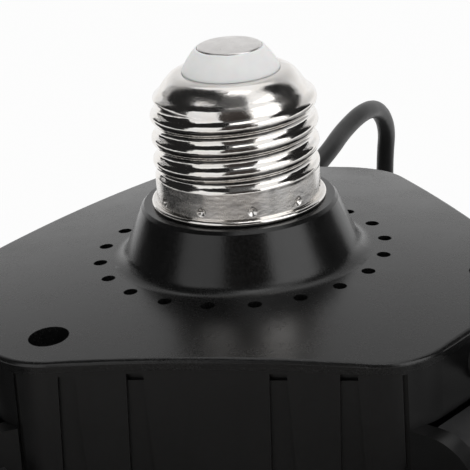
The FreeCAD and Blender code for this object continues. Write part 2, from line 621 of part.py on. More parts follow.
def hub_housing():
    plain, wing, corner = HOUSING_PLAIN_SIDE, HOUSING_WING_SIDE, HOUSING_CORNER_RADIUS
    wall = HOUSING_WALL
    floor_z = HOUSING_FOOT_Z - DISH_DEPTH
    housing = hub_prism(plain, wing, corner, HOUSING_FOOT_Z, COVER_CROWN_Z)
    housing = housing.common(domed_disc(SEAM_CROWN_Z))
    recess_depth = HINGE_OUTWARD - RECESS_SIDE
    for facing in WING_FACINGS:
        recess = box((recess_depth, 2 * LUG_INNER_FACE, RECESS_TOP_Z - HOUSING_FOOT_Z),
                     RECESS_SIDE + recess_depth / 2, 0, HOUSING_FOOT_Z)
        housing = housing.cut(turned_to(recess, facing))
        for inner_face in (LUG_INNER_FACE, -LUG_OUTER_FACE):
            housing = housing.fuse(turned_to(hinge_lug(inner_face), facing))

    dish = housing_dish(plain, RECESS_SIDE, corner, DISH_TAPER, floor_z)
    rim = [edge for edge in dish.Edges if edge.BoundBox.ZMax < floor_z + 0.01]
    housing = housing.fuse(dish.makeFillet(DISH_EDGE_FILLET, rim))

    shelf_z = RECESS_TOP_Z + wall
    upper = hub_prism(plain - wall, wing - wall, corner - wall, shelf_z, COVER_CROWN_Z)
    lower = hub_prism(plain - wall, RECESS_SIDE - wall, corner - wall, HOUSING_FOOT_Z, shelf_z)
    pan = housing_dish(plain - wall, RECESS_SIDE - wall, corner - wall, DISH_TAPER,
                       floor_z + wall)
    housing = housing.cut(upper.fuse(lower).fuse(pan))

    pilot = COVER_SCREW_RADIUS + PILOT_CLEARANCE
    span = 2 * (WELL_SIDEWAYS + WELL_BOSS_RADIUS)
    inside = box((span, span, -floor_z), RECESS_SIDE - wall / 2 - span / 2, 0, floor_z)
    for facing in WING_FACINGS:
        boss = cylinder(WELL_BOSS_RADIUS, floor_z + wall / 2, WELL_BOSS_FOOT_Z,
                        WELL_OUTWARD, WELL_SIDEWAYS)
        housing = housing.fuse(turned_to(boss.common(inside), facing))
        hole = cylinder(pilot, WELL_FLOOR_Z - COVER_SCREW_LENGTH - 1, WELL_FLOOR_Z,
                        WELL_OUTWARD, WELL_SIDEWAYS)
        cable_hole = Part.makeCylinder(GROMMET_PLUG_RADIUS, 2 * wall,
                                       Vector(wing - 1.5 * wall, GROMMET_SIDEWAYS, GROMMET_Z),
                                       Vector(1, 0, 0))
        for cut in (hole, cable_hole, hinge_bore()):
            housing = housing.cut(turned_to(cut, facing))
    for facing in PLAIN_FACINGS:
        post = cylinder(POST_RADIUS, floor_z + wall / 2, DRIVER_TOP_Z - BOARD_THICKNESS,
                        POST_RING_RADIUS)
        hole = cylinder(BOARD_SCREW_RADIUS + PILOT_CLEARANCE,
                        DRIVER_TOP_Z - DRIVER_SCREW_LENGTH - 0.5, DRIVER_TOP_Z, POST_RING_RADIUS)
        housing = housing.fuse(turned_to(post, facing)).cut(turned_to(hole, facing))
        for cut in wall_relief():
            housing = housing.cut(turned_to(cut, facing))
    return housing.removeSplitter()


# ---------------------------------------------------------------------------
# hinge hardware
# ---------------------------------------------------------------------------

def hinge_bolt():
    """Bolt through both lugs and the knuckle, head on the clockwise side."""
    head_face = -LUG_OUTER_FACE
    length = 2 * LUG_OUTER_FACE + NUT_HEIGHT + BOLT_TAIL
    shank = Part.makeCylinder(BOLT_RADIUS, length, Vector(0, head_face, 0), Vector(0, 1, 0))
    head = Part.makeCylinder(BOLT_HEAD_RADIUS, BOLT_HEAD_HEIGHT,
                             Vector(0, head_face - BOLT_HEAD_HEIGHT, 0), Vector(0, 1, 0))
    rim = [edge for edge in head.Edges if edge.BoundBox.YMax < head_face - BOLT_HEAD_HEIGHT / 2]
    head = head.makeFillet(BOLT_HEAD_ROUND, rim)
    bolt = shank.fuse(head).removeSplitter()
    bolt.translate(Vector(HINGE_OUTWARD, 0, HINGE_Z))
    return bolt


def hinge_nut():
    """Hexagon nut against the outer face of the other lug."""
    corner = NUT_ACROSS_FLATS / math.sqrt(3)
    points = []
    for i in range(7):
        angle = math.radians(60 * i)
        points.append(Vector(HINGE_OUTWARD + corner * math.cos(angle), LUG_OUTER_FACE,
                             HINGE_Z + corner * math.sin(angle)))
    nut = Part.Face(Part.makePolygon(points)).extrude(Vector(0, NUT_HEIGHT, 0))
    start = Vector(HINGE_OUTWARD, LUG_OUTER_FACE, HINGE_Z)
    return nut.cut(Part.makeCylinder(BOLT_RADIUS, NUT_HEIGHT, start, Vector(0, 1, 0)))


def friction_washers():
    """One washer between each lug and the knuckle."""
    thickness = LUG_INNER_FACE - KNUCKLE_HALF_WIDTH - WASHER_GAP
    washers = []
    for start in (LUG_INNER_FACE - thickness, -LUG_INNER_FACE):
        washer = Part.makeCylinder(WASHER_RADIUS, thickness,
                                   Vector(HINGE_OUTWARD, start, HINGE_Z), Vector(0, 1, 0))
        washers.append(washer.cut(hinge_bore()))
    return group(washers)


# ---------------------------------------------------------------------------
# wings, drawn level with the hinge axis along Y through the origin
# ---------------------------------------------------------------------------

def petal(inset, low, high):
    """Prism of the wing's wide part, drawn in by an inset all round."""
    flare = (TIP_HALF_WIDTH - SHOULDER_HALF_WIDTH) / (WING_LENGTH - SHOULDER_START)
    side = SHOULDER_HALF_WIDTH - inset * math.hypot(1, flare)
    near, far = SHOULDER_START + inset, WING_LENGTH + TIP_CORNER_RADIUS
    near_half = side + flare * (near - SHOULDER_START)
    far_half = side + flare * (far - SHOULDER_START)
    corners = [(near, -near_half), (far, -far_half), (far, far_half), (near, near_half)]
    outline = [Vector(out + ROOT_EDGE, y, low) for out, y in corners]
    prism = Part.Face(Part.makePolygon(outline + outline[:1])).extrude(UP * (high - low))
    centre = ROOT_EDGE + WING_LENGTH - TIP_ARC_RADIUS
    prism = prism.common(cylinder(TIP_ARC_RADIUS - inset, low, high, centre))
    middle = WING_LENGTH / 2
    near_edges = [edge for edge in upright_edges(prism) if edge.Vertexes[0].X < middle]
    prism = prism.makeFillet(INNER_CORNER_RADIUS - inset, near_edges)
    tip_edges = [edge for edge in upright_edges(prism) if edge.Vertexes[0].X > middle]
    return prism.makeFillet(TIP_CORNER_RADIUS - inset, tip_edges)


def root_knuckle():
    """Square-backed root with a round underside about the hinge axis."""
    width = 2 * KNUCKLE_HALF_WIDTH
    radius = KNUCKLE_RADIUS
    reach = ROOT_EDGE + SHOULDER_START + RIM_WALL / 2
    barrel = Part.makeCylinder(radius, width, Vector(0, -KNUCKLE_HALF_WIDTH, 0), Vector(0, 1, 0))
    back = box((radius, width, radius), ROOT_EDGE + radius / 2, 0, 0)
    arm = box((reach, width, 2 * radius), reach / 2, 0, WING_BOTTOM)
    return barrel.fuse(back).fuse(arm)


def fins():
    """Lengthwise fins under one crowned profile, clear of the cable gland."""
    start = ROOT_EDGE + FIN_START
    finish = ROOT_EDGE + WING_LENGTH - FIN_TIP_GAP
    root_z = WING_TOP - FIN_SINK
    ends_z = WING_TOP + FIN_END_HEIGHT
    crest = Vector((start + finish) / 2, 0, WING_TOP + FIN_CREST_HEIGHT)
    profile = Part.Wire([
        Part.LineSegment(Vector(start, 0, root_z), Vector(finish, 0, root_z)).toShape(),
        Part.LineSegment(Vector(finish, 0, root_z), Vector(finish, 0, ends_z)).toShape(),
        Part.Arc(Vector(finish, 0, ends_z), crest, Vector(start, 0, ends_z)).toShape(),
        Part.LineSegment(Vector(start, 0, ends_z), Vector(start, 0, root_z)).toShape(),
    ])
    blades = []
    for i in range(FIN_COUNT):
        middle = (i - (FIN_COUNT - 1) / 2) * FIN_PITCH
        blade = Part.Face(profile).extrude(Vector(0, FIN_THICKNESS, 0))
        blade.translate(Vector(0, middle - FIN_THICKNESS / 2, 0))
        blades.append(blade)
    limit = petal(FIN_SIDE_INSET, root_z, crest.z + 1)
    clearing = cylinder(GLAND_CLEARING, root_z - 1, crest.z + 1, *gland_place())
    return group(blades).common(limit).cut(clearing)


def gland_place():
    return ROOT_EDGE + GLAND_OUT, GLAND_SIDEWAYS


def lens_screw_places():
    near_x = ROOT_EDGE + SHOULDER_START + LENS_SCREW_NEAR[0]
    near_y = SHOULDER_HALF_WIDTH - LENS_SCREW_NEAR[1]
    far_x = ROOT_EDGE + WING_LENGTH - LENS_SCREW_FAR[0]
    far_y = TIP_HALF_WIDTH - LENS_SCREW_FAR[1]
    return [(near_x, near_y), (near_x, -near_y), (far_x, far_y), (far_x, -far_y)]


def board_screw_places():
    return [ROOT_EDGE + CHIP_FIRST_ROW + rows * CHIP_ROW_PITCH for rows in BOARD_SCREW_ROWS]


def heat_sink():
    """Die-cast wing: finned plate, tray for the LED board, rim, ledge and knuckle."""
    sink = petal(0, WING_BOTTOM, WING_TOP).fuse(root_knuckle())
    tray = petal(LEDGE_WALL, LENS_TOP - 0.1, TRAY_TOP)
    mouth = petal(RIM_WALL, WING_BOTTOM - 1, LENS_TOP)
    sink = sink.cut(tray).cut(mouth)
    for x, y in lens_screw_places():
        boss = cylinder(LENS_BOSS_RADIUS, LENS_TOP, TRAY_TOP, x, y)
        hole = cylinder(LENS_SCREW_RADIUS + PILOT_CLEARANCE, LENS_TOP - 1,
                        LENS_TOP + LENS_SCREW_BITE + 0.5, x, y)
        sink = sink.fuse(boss).cut(hole)
    for blade in fins().Solids:
        sink = sink.fuse(blade)
    x, y = gland_place()
    boss_top = WING_TOP + GLAND_BOSS_HEIGHT
    sink = sink.fuse(cylinder(GLAND_BOSS_RADIUS, TRAY_TOP + 1, boss_top, x, y))
    sink = sink.cut(cylinder(GROMMET_PLUG_RADIUS, TRAY_TOP - 1, boss_top + 1, x, y))
    for x in board_screw_places():
        sink = sink.cut(cylinder(BOARD_SCREW_RADIUS + PILOT_CLEARANCE, TRAY_TOP - 1,
                                 TRAY_TOP + BOARD_SCREW_BITE + 0.3, x))
    reach = KNUCKLE_HALF_WIDTH + 1
    bore = Part.makeCylinder(BOLT_RADIUS + BOLT_RUNNING_CLEARANCE, 2 * reach,
                             Vector(0, -reach, 0), Vector(0, 1, 0))
    return sink.cut(bore).removeSplitter()


def led_board():
    """Aluminium board on the tray's ceiling, cut away round the lens screw bosses."""
    board = petal(LEDGE_WALL + BOARD_GAP, TRAY_TOP - BOARD_THICKNESS, TRAY_TOP)
    for x, y in lens_screw_places():
        board = board.cut(cylinder(LENS_BOSS_RADIUS + BOARD_GAP, WING_BOTTOM, WING_TOP, x, y))
    for x in board_screw_places():
        board = board.cut(cylinder(BOARD_SCREW_RADIUS + SCREW_HOLE_CLEARANCE / 2, WING_BOTTOM,
                                   WING_TOP, x))
    return board


def led_chips():
    chips = []
    low = TRAY_TOP - BOARD_THICKNESS - CHIP_HEIGHT
    for row in range(CHIP_ROWS):
        x = ROOT_EDGE + CHIP_FIRST_ROW + row * CHIP_ROW_PITCH
        for column in range(CHIP_COLUMNS):
            y = (column - (CHIP_COLUMNS - 1) / 2) * CHIP_COLUMN_PITCH
            chips.append(box((CHIP_LENGTH, CHIP_WIDTH, CHIP_HEIGHT), x, y, low))
    return group(chips)


def board_screws():
    screws = []
    face = TRAY_TOP - BOARD_THICKNESS
    for x in board_screw_places():
        head = cylinder(BOARD_SCREW_HEAD_RADIUS, face - BOARD_SCREW_HEAD_HEIGHT, face, x)
        shank = cylinder(BOARD_SCREW_RADIUS, face, TRAY_TOP + BOARD_SCREW_BITE, x)
        screws.append(head.fuse(shank).removeSplitter())
    return group(screws)


def lens():
    """Frosted cover, flush in the rim, hollowed inside and counterbored for screws."""
    inset = RIM_WALL + LENS_CLEARANCE
    plate = petal(inset, WING_BOTTOM, LENS_TOP)
    plate = plate.cut(petal(inset + LENS_BORDER, LENS_TOP - LENS_HOLLOW, LENS_TOP + 1))
    for x, y in lens_screw_places():
        plate = plate.fuse(cylinder(LENS_BOSS_RADIUS, LENS_TOP - LENS_HOLLOW, LENS_TOP, x, y))
        hole = cylinder(LENS_SCREW_RADIUS + SCREW_HOLE_CLEARANCE / 2, WING_BOTTOM - 1,
                        LENS_TOP + 1, x, y)
        seat = cylinder(LENS_SCREW_HEAD_RADIUS + HEAD_CLEARANCE, WING_BOTTOM - 1,
                        WING_BOTTOM + LENS_SCREW_HEAD_HEIGHT, x, y)
        plate = plate.cut(hole).cut(seat)
    return plate.removeSplitter()


def lens_screws():
    screws = []
    seat = WING_BOTTOM + LENS_SCREW_HEAD_HEIGHT
    for x, y in lens_screw_places():
        head = cylinder(LENS_SCREW_HEAD_RADIUS, WING_BOTTOM, seat, x, y)
        shank = cylinder(LENS_SCREW_RADIUS, seat, LENS_TOP + LENS_SCREW_BITE, x, y)
        screws.append(head.fuse(shank).removeSplitter())
    return group(screws)


def cable_gland():
    """Grommet on the wing's back: plug, flange and tapered nose up to the cable."""
    x, y = gland_place()
    boss_top = WING_TOP + GLAND_BOSS_HEIGHT
    flange_top = boss_top + GLAND_FLANGE_HEIGHT
    across, down = GROMMET_CHAMFER
    gland = revolved([
        (0, TRAY_TOP), (GROMMET_PLUG_RADIUS - GROMMET_FIT, TRAY_TOP),
        (GROMMET_PLUG_RADIUS - GROMMET_FIT, boss_top), (GLAND_FLANGE_RADIUS, boss_top),
        (GLAND_FLANGE_RADIUS, flange_top - down), (GLAND_FLANGE_RADIUS - across, flange_top),
        (GLAND_NOSE_RADIUS, flange_top), (GLAND_TIP_RADIUS, WING_TOP + GLAND_HEIGHT),
        (0, WING_TOP + GLAND_HEIGHT),
    ])
    gland.translate(Vector(x, y, 0))
    return gland


# ---------------------------------------------------------------------------
# hub grommets and the cables that loop over the hinges
# ---------------------------------------------------------------------------

def grommet_centre():
    return Vector(HOUSING_WING_SIDE, GROMMET_SIDEWAYS, GROMMET_Z)


def nose_way():
    """Direction of the grommet's nose, towards the first point of the route."""
    return (Vector(*CABLE_ROUTE[0]) - grommet_centre()).normalize()


def hub_grommet():
    """Flanged grommet in the housing wall, its nose bent towards the cable."""
    wall = HOUSING_WALL
    plug = GROMMET_PLUG_RADIUS - GROMMET_FIT
    body = revolved([
        (0, -wall - GROMMET_INNER_THICKNESS), (GROMMET_INNER_RADIUS, -wall - GROMMET_INNER_THICKNESS),
        (GROMMET_INNER_RADIUS, -wall), (plug, -wall), (plug, 0), (GROMMET_FLANGE_RADIUS, 0),
        (GROMMET_FLANGE_RADIUS, GROMMET_FLANGE_THICKNESS), (0, GROMMET_FLANGE_THICKNESS),
    ])
    body.Placement = Placement(grommet_centre(), Rotation(UP, Vector(1, 0, 0)))
    nose = Part.makeCone(NOSE_ROOT_RADIUS, NOSE_TIP_RADIUS, NOSE_LENGTH, grommet_centre(),
                         nose_way())
    reach = 2 * NOSE_LENGTH
    outside = box((reach, reach, reach), HOUSING_WING_SIDE + reach / 2, GROMMET_SIDEWAYS,
                  GROMMET_Z - reach / 2)
    return body.fuse(nose.common(outside)).removeSplitter()


def cable_points():
    """Route of one cable on its wing side, grommet nose to gland."""
    points = [grommet_centre() + nose_way() * NOSE_LENGTH]
    points += [Vector(*point) for point in CABLE_ROUTE]
    tilt = math.radians(REST_TILT)
    out, up = ROOT_EDGE + GLAND_OUT, WING_TOP + GLAND_HEIGHT
    entry = Vector(HINGE_OUTWARD + out * math.cos(tilt) + up * math.sin(tilt), GLAND_SIDEWAYS,
                   HINGE_Z - out * math.sin(tilt) + up * math.cos(tilt))
    points.append(entry + Vector(math.sin(tilt), 0, math.cos(tilt)) * GLAND_RUN)
    points.append(entry)
    return points


def cable():
    """Tube on straight runs joined by tangent arcs. Prints its radii and volume."""
    points = cable_points()
    edges, radii = [], []
    here = points[0]
    length = 0.0
    for before, corner, after in zip(points, points[1:], points[2:]):
        back, ahead = before - corner, after - corner
        shorter = min(back.Length, ahead.Length)
        back.normalize()
        ahead.normalize()
        half_turn = (math.pi - back.getAngle(ahead)) / 2
        cut = CABLE_ARC_SHARE * shorter
        radius = cut / math.tan(half_turn)
        start, finish = corner + back * cut, corner + ahead * cut
        toward = (back + ahead).normalize()
        bend = corner + toward * (math.hypot(radius, cut) - radius)
        edges.append(Part.LineSegment(here, start).toShape())
        edges.append(Part.Arc(start, bend, finish).toShape())
        length += (start - here).Length + 2 * radius * half_turn
        radii.append(round(radius, 1))
        here = finish
    edges.append(Part.LineSegment(here, points[-1]).toShape())
    length += (points[-1] - here).Length
    way = points[1] - points[0]
    ring = Part.Wire(Part.makeCircle(CABLE_RADIUS, points[0], way))
    tube = Part.Wire(edges).makePipeShell([ring], True, False)
    section = math.pi * CABLE_RADIUS ** 2
    print("cable radii", radii, "length %.1f" % length,
          "volume ratio %.4f" % (tube.Volume / (section * length)))
    return tube


# ---------------------------------------------------------------------------
# driver board and what stands on it
# ---------------------------------------------------------------------------

def driver_board():
    board = hub_prism(DRIVER_PLAIN_SIDE, DRIVER_WING_SIDE, DRIVER_CORNER_RADIUS,
                      DRIVER_TOP_Z - BOARD_THICKNESS, DRIVER_TOP_Z)
    for facing in WING_FACINGS:
        notch = cylinder(WELL_BOSS_RADIUS + DRIVER_BOSS_CLEARANCE, HOUSING_FOOT_Z, WELL_FLOOR_Z,
                         WELL_OUTWARD, WELL_SIDEWAYS)
        board = board.cut(turned_to(notch, facing))
    for facing in PLAIN_FACINGS:
        hole = cylinder(BOARD_SCREW_RADIUS + SCREW_HOLE_CLEARANCE / 2, HOUSING_FOOT_Z,
                        WELL_FLOOR_Z, POST_RING_RADIUS)
        board = board.cut(turned_to(hole, facing))
    return board


def driver_screws():
    screws = []
    for facing in PLAIN_FACINGS:
        head = cylinder(BOARD_SCREW_HEAD_RADIUS, DRIVER_TOP_Z,
                        DRIVER_TOP_Z + BOARD_SCREW_HEAD_HEIGHT, POST_RING_RADIUS)
        shank = cylinder(BOARD_SCREW_RADIUS, DRIVER_TOP_Z - DRIVER_SCREW_LENGTH, DRIVER_TOP_Z,
                         POST_RING_RADIUS)
        screws.append(turned_to(head.fuse(shank).removeSplitter(), facing))
    return group(screws)


def transformer_core():
    """Ferrite frame with a window on each side of its round middle limb."""
    length, width, height = TRANSFORMER_CORE
    core = box(TRANSFORMER_CORE, 0, 0, DRIVER_TOP_Z)
    window = box((length - 2 * CORE_LEG, width, height - 2 * CORE_YOKE), 0, 0,
                 DRIVER_TOP_Z + CORE_YOKE)
    limb = cylinder(CORE_LIMB_RADIUS, DRIVER_TOP_Z, DRIVER_TOP_Z + height)
    return core.cut(window).fuse(limb).removeSplitter()


def transformer_coil():
    length, width, height = TRANSFORMER_CORE
    radius = length / 2 - CORE_LEG - COIL_CLEARANCE
    low, high = DRIVER_TOP_Z + CORE_YOKE, DRIVER_TOP_Z + height - CORE_YOKE
    return cylinder(radius, low, high).cut(cylinder(CORE_LIMB_RADIUS, low, high))


def smoothing_capacitors():
    cans = []
    for x, y, radius, height in CAPACITORS:
        can = cylinder(radius, DRIVER_TOP_Z, DRIVER_TOP_Z + height, x, y)
        rim = [edge for edge in can.Edges if edge.BoundBox.ZMin > DRIVER_TOP_Z + height / 2]
        cans.append(can.makeFillet(CAPACITOR_ROUND, rim))
    return group(cans)


def film_capacitor():
    block = box(FILM_CAPACITOR, *FILM_CAPACITOR_PLACE, DRIVER_TOP_Z)
    return block.makeFillet(CAPACITOR_ROUND, block.Edges)


def line_choke():
    """Ring choke lying flat on the board."""
    x, y = CHOKE_PLACE
    return Part.makeTorus(CHOKE_RING_RADIUS, CHOKE_WIRE_RADIUS,
                          Vector(x, y, DRIVER_TOP_Z + CHOKE_WIRE_RADIUS), UP)


def output_connectors():
    plugs = []
    for facing in WING_FACINGS:
        plug = box(CONNECTOR, CONNECTOR_OUTWARD, CONNECTOR_SIDEWAYS, DRIVER_TOP_Z)
        plugs.append(turned_to(plug, facing))
    return group(plugs)


# ---------------------------------------------------------------------------
# the whole light
# ---------------------------------------------------------------------------

def main():
    os.makedirs("parts", exist_ok=True)
    hub = {
        "top_cover": top_cover(),
        "hub_housing": hub_housing(),
        "cover_screws": cover_screws(),
        "screw_shell": screw_shell(),
        "base_insulator": base_insulator(),
        "centre_contact": centre_contact(),
        "driver_board": driver_board(),
        "driver_screws": driver_screws(),
        "transformer_core": transformer_core(),
        "transformer_coil": transformer_coil(),
        "smoothing_capacitors": smoothing_capacitors(),
        "film_capacitor": film_capacitor(),
        "line_choke": line_choke(),
        "bridge_rectifier": box(RECTIFIER, *RECTIFIER_PLACE, DRIVER_TOP_Z),
        "driver_chip": box(CONTROLLER, *CONTROLLER_PLACE, DRIVER_TOP_Z),
        "output_connectors": output_connectors(),
    }
    for node, shape in hub.items():
        save(shape, node)

    beside_hinge = {
        "hinge_bolt": hinge_bolt(),
        "hinge_nut": hinge_nut(),
        "friction_washers": friction_washers(),
        "hub_grommet": hub_grommet(),
        "cable": cable(),
    }
    on_the_wing = {
        "heat_sink": heat_sink(),
        "led_board": led_board(),
        "led_chips": led_chips(),
        "board_screws": board_screws(),
        "lens": lens(),
        "lens_screws": lens_screws(),
        "cable_gland": cable_gland(),
    }
    for number, facing in enumerate(WING_FACINGS, start=1):
        for name, shape in beside_hinge.items():
            save(turned_to(shape, facing), "wing_%d_%s" % (number, name))
        for name, shape in on_the_wing.items():
            save(on_wing(shape, facing), "wing_%d_%s" % (number, name))


main()
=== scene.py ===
import json
import math

import bpy
import numpy as np
from mathutils import Matrix, Vector

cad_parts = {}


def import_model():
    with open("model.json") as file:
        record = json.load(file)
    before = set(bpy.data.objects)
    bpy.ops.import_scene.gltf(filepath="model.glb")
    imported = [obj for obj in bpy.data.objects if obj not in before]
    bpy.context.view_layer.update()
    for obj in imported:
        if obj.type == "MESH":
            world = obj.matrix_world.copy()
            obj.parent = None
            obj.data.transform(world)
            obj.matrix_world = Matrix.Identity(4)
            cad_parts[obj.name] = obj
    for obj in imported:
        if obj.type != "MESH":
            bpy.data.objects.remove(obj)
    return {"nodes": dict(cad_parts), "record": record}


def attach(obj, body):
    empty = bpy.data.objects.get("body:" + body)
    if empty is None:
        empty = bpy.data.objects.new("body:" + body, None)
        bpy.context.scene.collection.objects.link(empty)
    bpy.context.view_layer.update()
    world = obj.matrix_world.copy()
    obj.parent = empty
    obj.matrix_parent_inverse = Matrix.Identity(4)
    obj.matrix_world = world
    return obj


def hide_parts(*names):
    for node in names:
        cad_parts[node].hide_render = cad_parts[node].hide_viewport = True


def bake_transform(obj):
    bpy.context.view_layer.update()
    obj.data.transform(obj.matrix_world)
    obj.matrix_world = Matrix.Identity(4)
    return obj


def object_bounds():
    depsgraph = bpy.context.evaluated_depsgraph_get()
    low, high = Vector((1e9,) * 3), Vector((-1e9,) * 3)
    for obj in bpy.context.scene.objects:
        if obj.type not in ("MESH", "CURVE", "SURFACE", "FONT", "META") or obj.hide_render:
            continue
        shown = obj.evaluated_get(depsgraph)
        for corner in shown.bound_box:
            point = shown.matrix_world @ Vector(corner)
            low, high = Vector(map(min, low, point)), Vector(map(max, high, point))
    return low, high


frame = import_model()
cad_low, cad_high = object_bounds()
nodes = frame["nodes"]

# The scene is in metres. The object's sizes below are in millimetres, the set's in metres.
MM = 0.001
WINGS = ((1, 90.0), (2, 210.0), (3, 330.0))     # number, and facing in degrees


# ---------------------------------------------------------------------------
# shader nodes
# ---------------------------------------------------------------------------

def empty_tree(owner):
    """Clears the nodes of a material or world and returns its tree."""
    owner.use_nodes = True
    owner.node_tree.nodes.clear()
    return owner.node_tree


def add_node(tree, kind, inputs=None, **settings):
    """Adds a node; each input takes a plain value or another node's output."""
    node = tree.nodes.new("ShaderNode" + kind)
    for name, value in settings.items():
        setattr(node, name, value)
    for socket, value in (inputs or {}).items():
        if isinstance(value, bpy.types.NodeSocket):
            tree.links.new(value, node.inputs[socket])
        else:
            node.inputs[socket].default_value = value
    return node


class Surface:
    """A principled material that is built up from procedural textures."""

    # most of a noise texture's values lie in this span
    USUAL = (0.3, 0.7)

    def __init__(self, name, color, rough, metallic=0.0, sockets=None):
        self.mat = bpy.data.materials.new(name)
        self.mat.use_nodes = True
        self.shader = self.mat.node_tree.nodes["Principled BSDF"]
        plain = {"Base Color": (*color, 1.0), "Roughness": rough, "Metallic": metallic}
        for socket, value in {**plain, **(sockets or {})}.items():
            self.shader.inputs[socket].default_value = value
        self.coords = self.node("TexCoord").outputs["Object"]
        self.normal = None

    def node(self, kind, inputs=None, **settings):
        return add_node(self.mat.node_tree, kind, inputs, **settings)

    def drive(self, socket, output):
        self.mat.node_tree.links.new(output, self.shader.inputs[socket])

    def noise(self, size_mm, detail=2.0, rough=0.5, stretch=(1, 1, 1)):
        """Noise whose features are size_mm across, drawn out by stretch."""
        mapping = self.node("Mapping", {"Vector": self.coords,
                                        "Scale": [1.0 / s for s in stretch]})
        texture = self.node("TexNoise", {"Vector": mapping.outputs["Vector"],
                                         "Scale": 1 / MM / size_mm,
                                         "Detail": detail, "Roughness": rough})
        return texture.outputs["Fac"]

    def voronoi(self, size_mm, feature, randomness=1.0):
        texture = self.node("TexVoronoi", {"Vector": self.coords,
                                           "Scale": 1 / MM / size_mm,
                                           "Randomness": randomness}, feature=feature)
        return texture.outputs["Distance"]

    def remap(self, value, span, levels, interpolation="LINEAR"):
        node = self.node("MapRange", {"Value": value, "From Min": span[0], "From Max": span[1],
                                      "To Min": levels[0], "To Max": levels[1]},
                         interpolation_type=interpolation)
        return node.outputs["Result"]

    def step(self, value, span, levels=(0.0, 1.0)):
        """Runs smoothly from one level to the other over a span of the value."""
        return self.remap(value, span, levels, "SMOOTHSTEP")

    def calc(self, operation, *values):
        node = self.node("Math", dict(enumerate(values)), operation=operation)
        return node.outputs["Value"]

    def blend_values(self, factor, first, second):
        node = self.node("Mix", {0: factor, 2: first, 3: second}, data_type="FLOAT")
        return node.outputs[0]

    def blend_colors(self, factor, first, second):
        node = self.node("Mix", {0: factor, 6: (*first, 1.0), 7: (*second, 1.0)},
                         data_type="RGBA")
        return node.outputs[2]

    def vary_color(self, value, low_color, high_color):
        """Runs the colour from one to the other along a texture."""
        factor = self.remap(value, self.USUAL, (0.0, 1.0))
        self.drive("Base Color", self.blend_colors(factor, low_color, high_color))

    def vary_grey(self, value, grey, low_share, high_share):
        """Varies a plain grey between two shares of itself along a texture."""
        self.vary_color(value, (grey * low_share,) * 3, (grey * high_share,) * 3)

    def vary_rough(self, value, low, high):
        self.drive("Roughness", self.remap(value, self.USUAL, (low, high)))

    def bump(self, value, depth_mm):
        """Adds relief of the given depth on top of the relief that is there."""
        inputs = {"Height": value, "Distance": depth_mm * MM, "Strength": 1.0}
        if self.normal is not None:
            inputs["Normal"] = self.normal
        self.normal = self.node("Bump", inputs).outputs["Normal"]
        self.drive("Normal", self.normal)

    def radius_and_height(self):
        """Distance from the screw axis and height along it, in millimetres."""
        x, y, z = self.node("SeparateXYZ", {0: self.coords}).outputs
        squares = self.calc("ADD", self.calc("MULTIPLY", x, x), self.calc("MULTIPLY", y, y))
        radius = self.calc("SQRT", squares)
        return self.calc("MULTIPLY", radius, 1 / MM), self.calc("MULTIPLY", z, 1 / MM)


# ---------------------------------------------------------------------------
# materials: base colour, roughness, then what varies them
# ---------------------------------------------------------------------------

NECK_EDGE = (18.2, 19.6)        # radii over which the neck runs out into the face
NECK_FOOT = (-11.2, -10.0)      # heights over which the neck begins
BAND_FOOT_FADE = (-2.0, -1.7)   # heights where the satin band fades in
BAND_TOP_FADE = (1.6, 2.6)      # and out
SHOULDER_FADE = (14.0, 15.5)    # heights where thread runs into shoulder


def cover_black():
    """Moulded cover: eroded grain in colour, gloss and relief, smoother on the neck."""
    base = 0.0055
    s = Surface("cover black", (base,) * 3, 0.34)
    radius, height = s.radius_and_height()
    on_neck = s.calc("MULTIPLY", s.step(radius, NECK_EDGE, (1.0, 0.0)),
                     s.step(height, NECK_FOOT))
    grain = s.noise(0.34, 3.0, 0.65)
    flow = s.calc("MULTIPLY", s.calc("ADD", s.noise(7.0, 3.0, 0.6), grain), 0.5)
    usual_flow = (0.35, 0.65)
    face_rough = s.remap(flow, usual_flow, (0.21, 0.30))
    neck_rough = s.remap(flow, usual_flow, (0.18, 0.27))
    s.drive("Roughness", s.blend_values(on_neck, face_rough, neck_rough))
    s.vary_grey(grain, base, 0.35, 1.8)
    s.bump(grain, 0.012)
    s.bump(s.noise(2.2, 2.0), 0.004)
    return s


def housing_black():
    """Moulded housing: fine grain, with faint marks of the plastic's flow."""
    base, rough = 0.0042, 0.32
    s = Surface("housing black", (base, base, base * 1.04), rough)
    s.vary_rough(s.noise(9.0, 3.0, 0.6), rough * 0.92, rough * 1.08)
    s.vary_grey(s.noise(0.9, 3.0), base, 0.85, 1.2)
    s.bump(s.noise(0.4, 3.0, 0.6), 0.006)
    return s


def nickel():
    """Bright plate, cloudy on the shoulder and satin on the band, with rolling marks."""
    cool, warm = (0.84, 0.825, 0.81), (0.86, 0.82, 0.77)
    s = Surface("bright nickel", cool, 0.12, 1.0)
    height = s.radius_and_height()[1]
    on_band = s.calc("MULTIPLY", s.step(height, BAND_TOP_FADE, (1.0, 0.0)),
                     s.step(height, BAND_FOOT_FADE))
    cloud = s.noise(2.6, 5.0, 0.75)
    thread = s.remap(cloud, s.USUAL, (0.07, 0.17))
    shoulder = s.remap(cloud, s.USUAL, (0.12, 0.26))
    band = s.remap(cloud, s.USUAL, (0.22, 0.30))
    bright = s.blend_values(s.step(height, SHOULDER_FADE), thread, shoulder)
    s.drive("Roughness", s.blend_values(on_band, bright, band))
    stain = s.remap(cloud, (0.35, 0.7), (0.0, 1.0))
    s.drive("Base Color", s.blend_colors(stain, cool, warm))
    s.bump(s.noise(2.4, 3.0, 0.6, (2, 2, 1)), 0.09)
    s.bump(s.noise(0.5, 4.0, 0.7, (12, 12, 1)), 0.007)
    s.bump(s.noise(0.22, 3.0, 0.7), 0.0007)
    return s


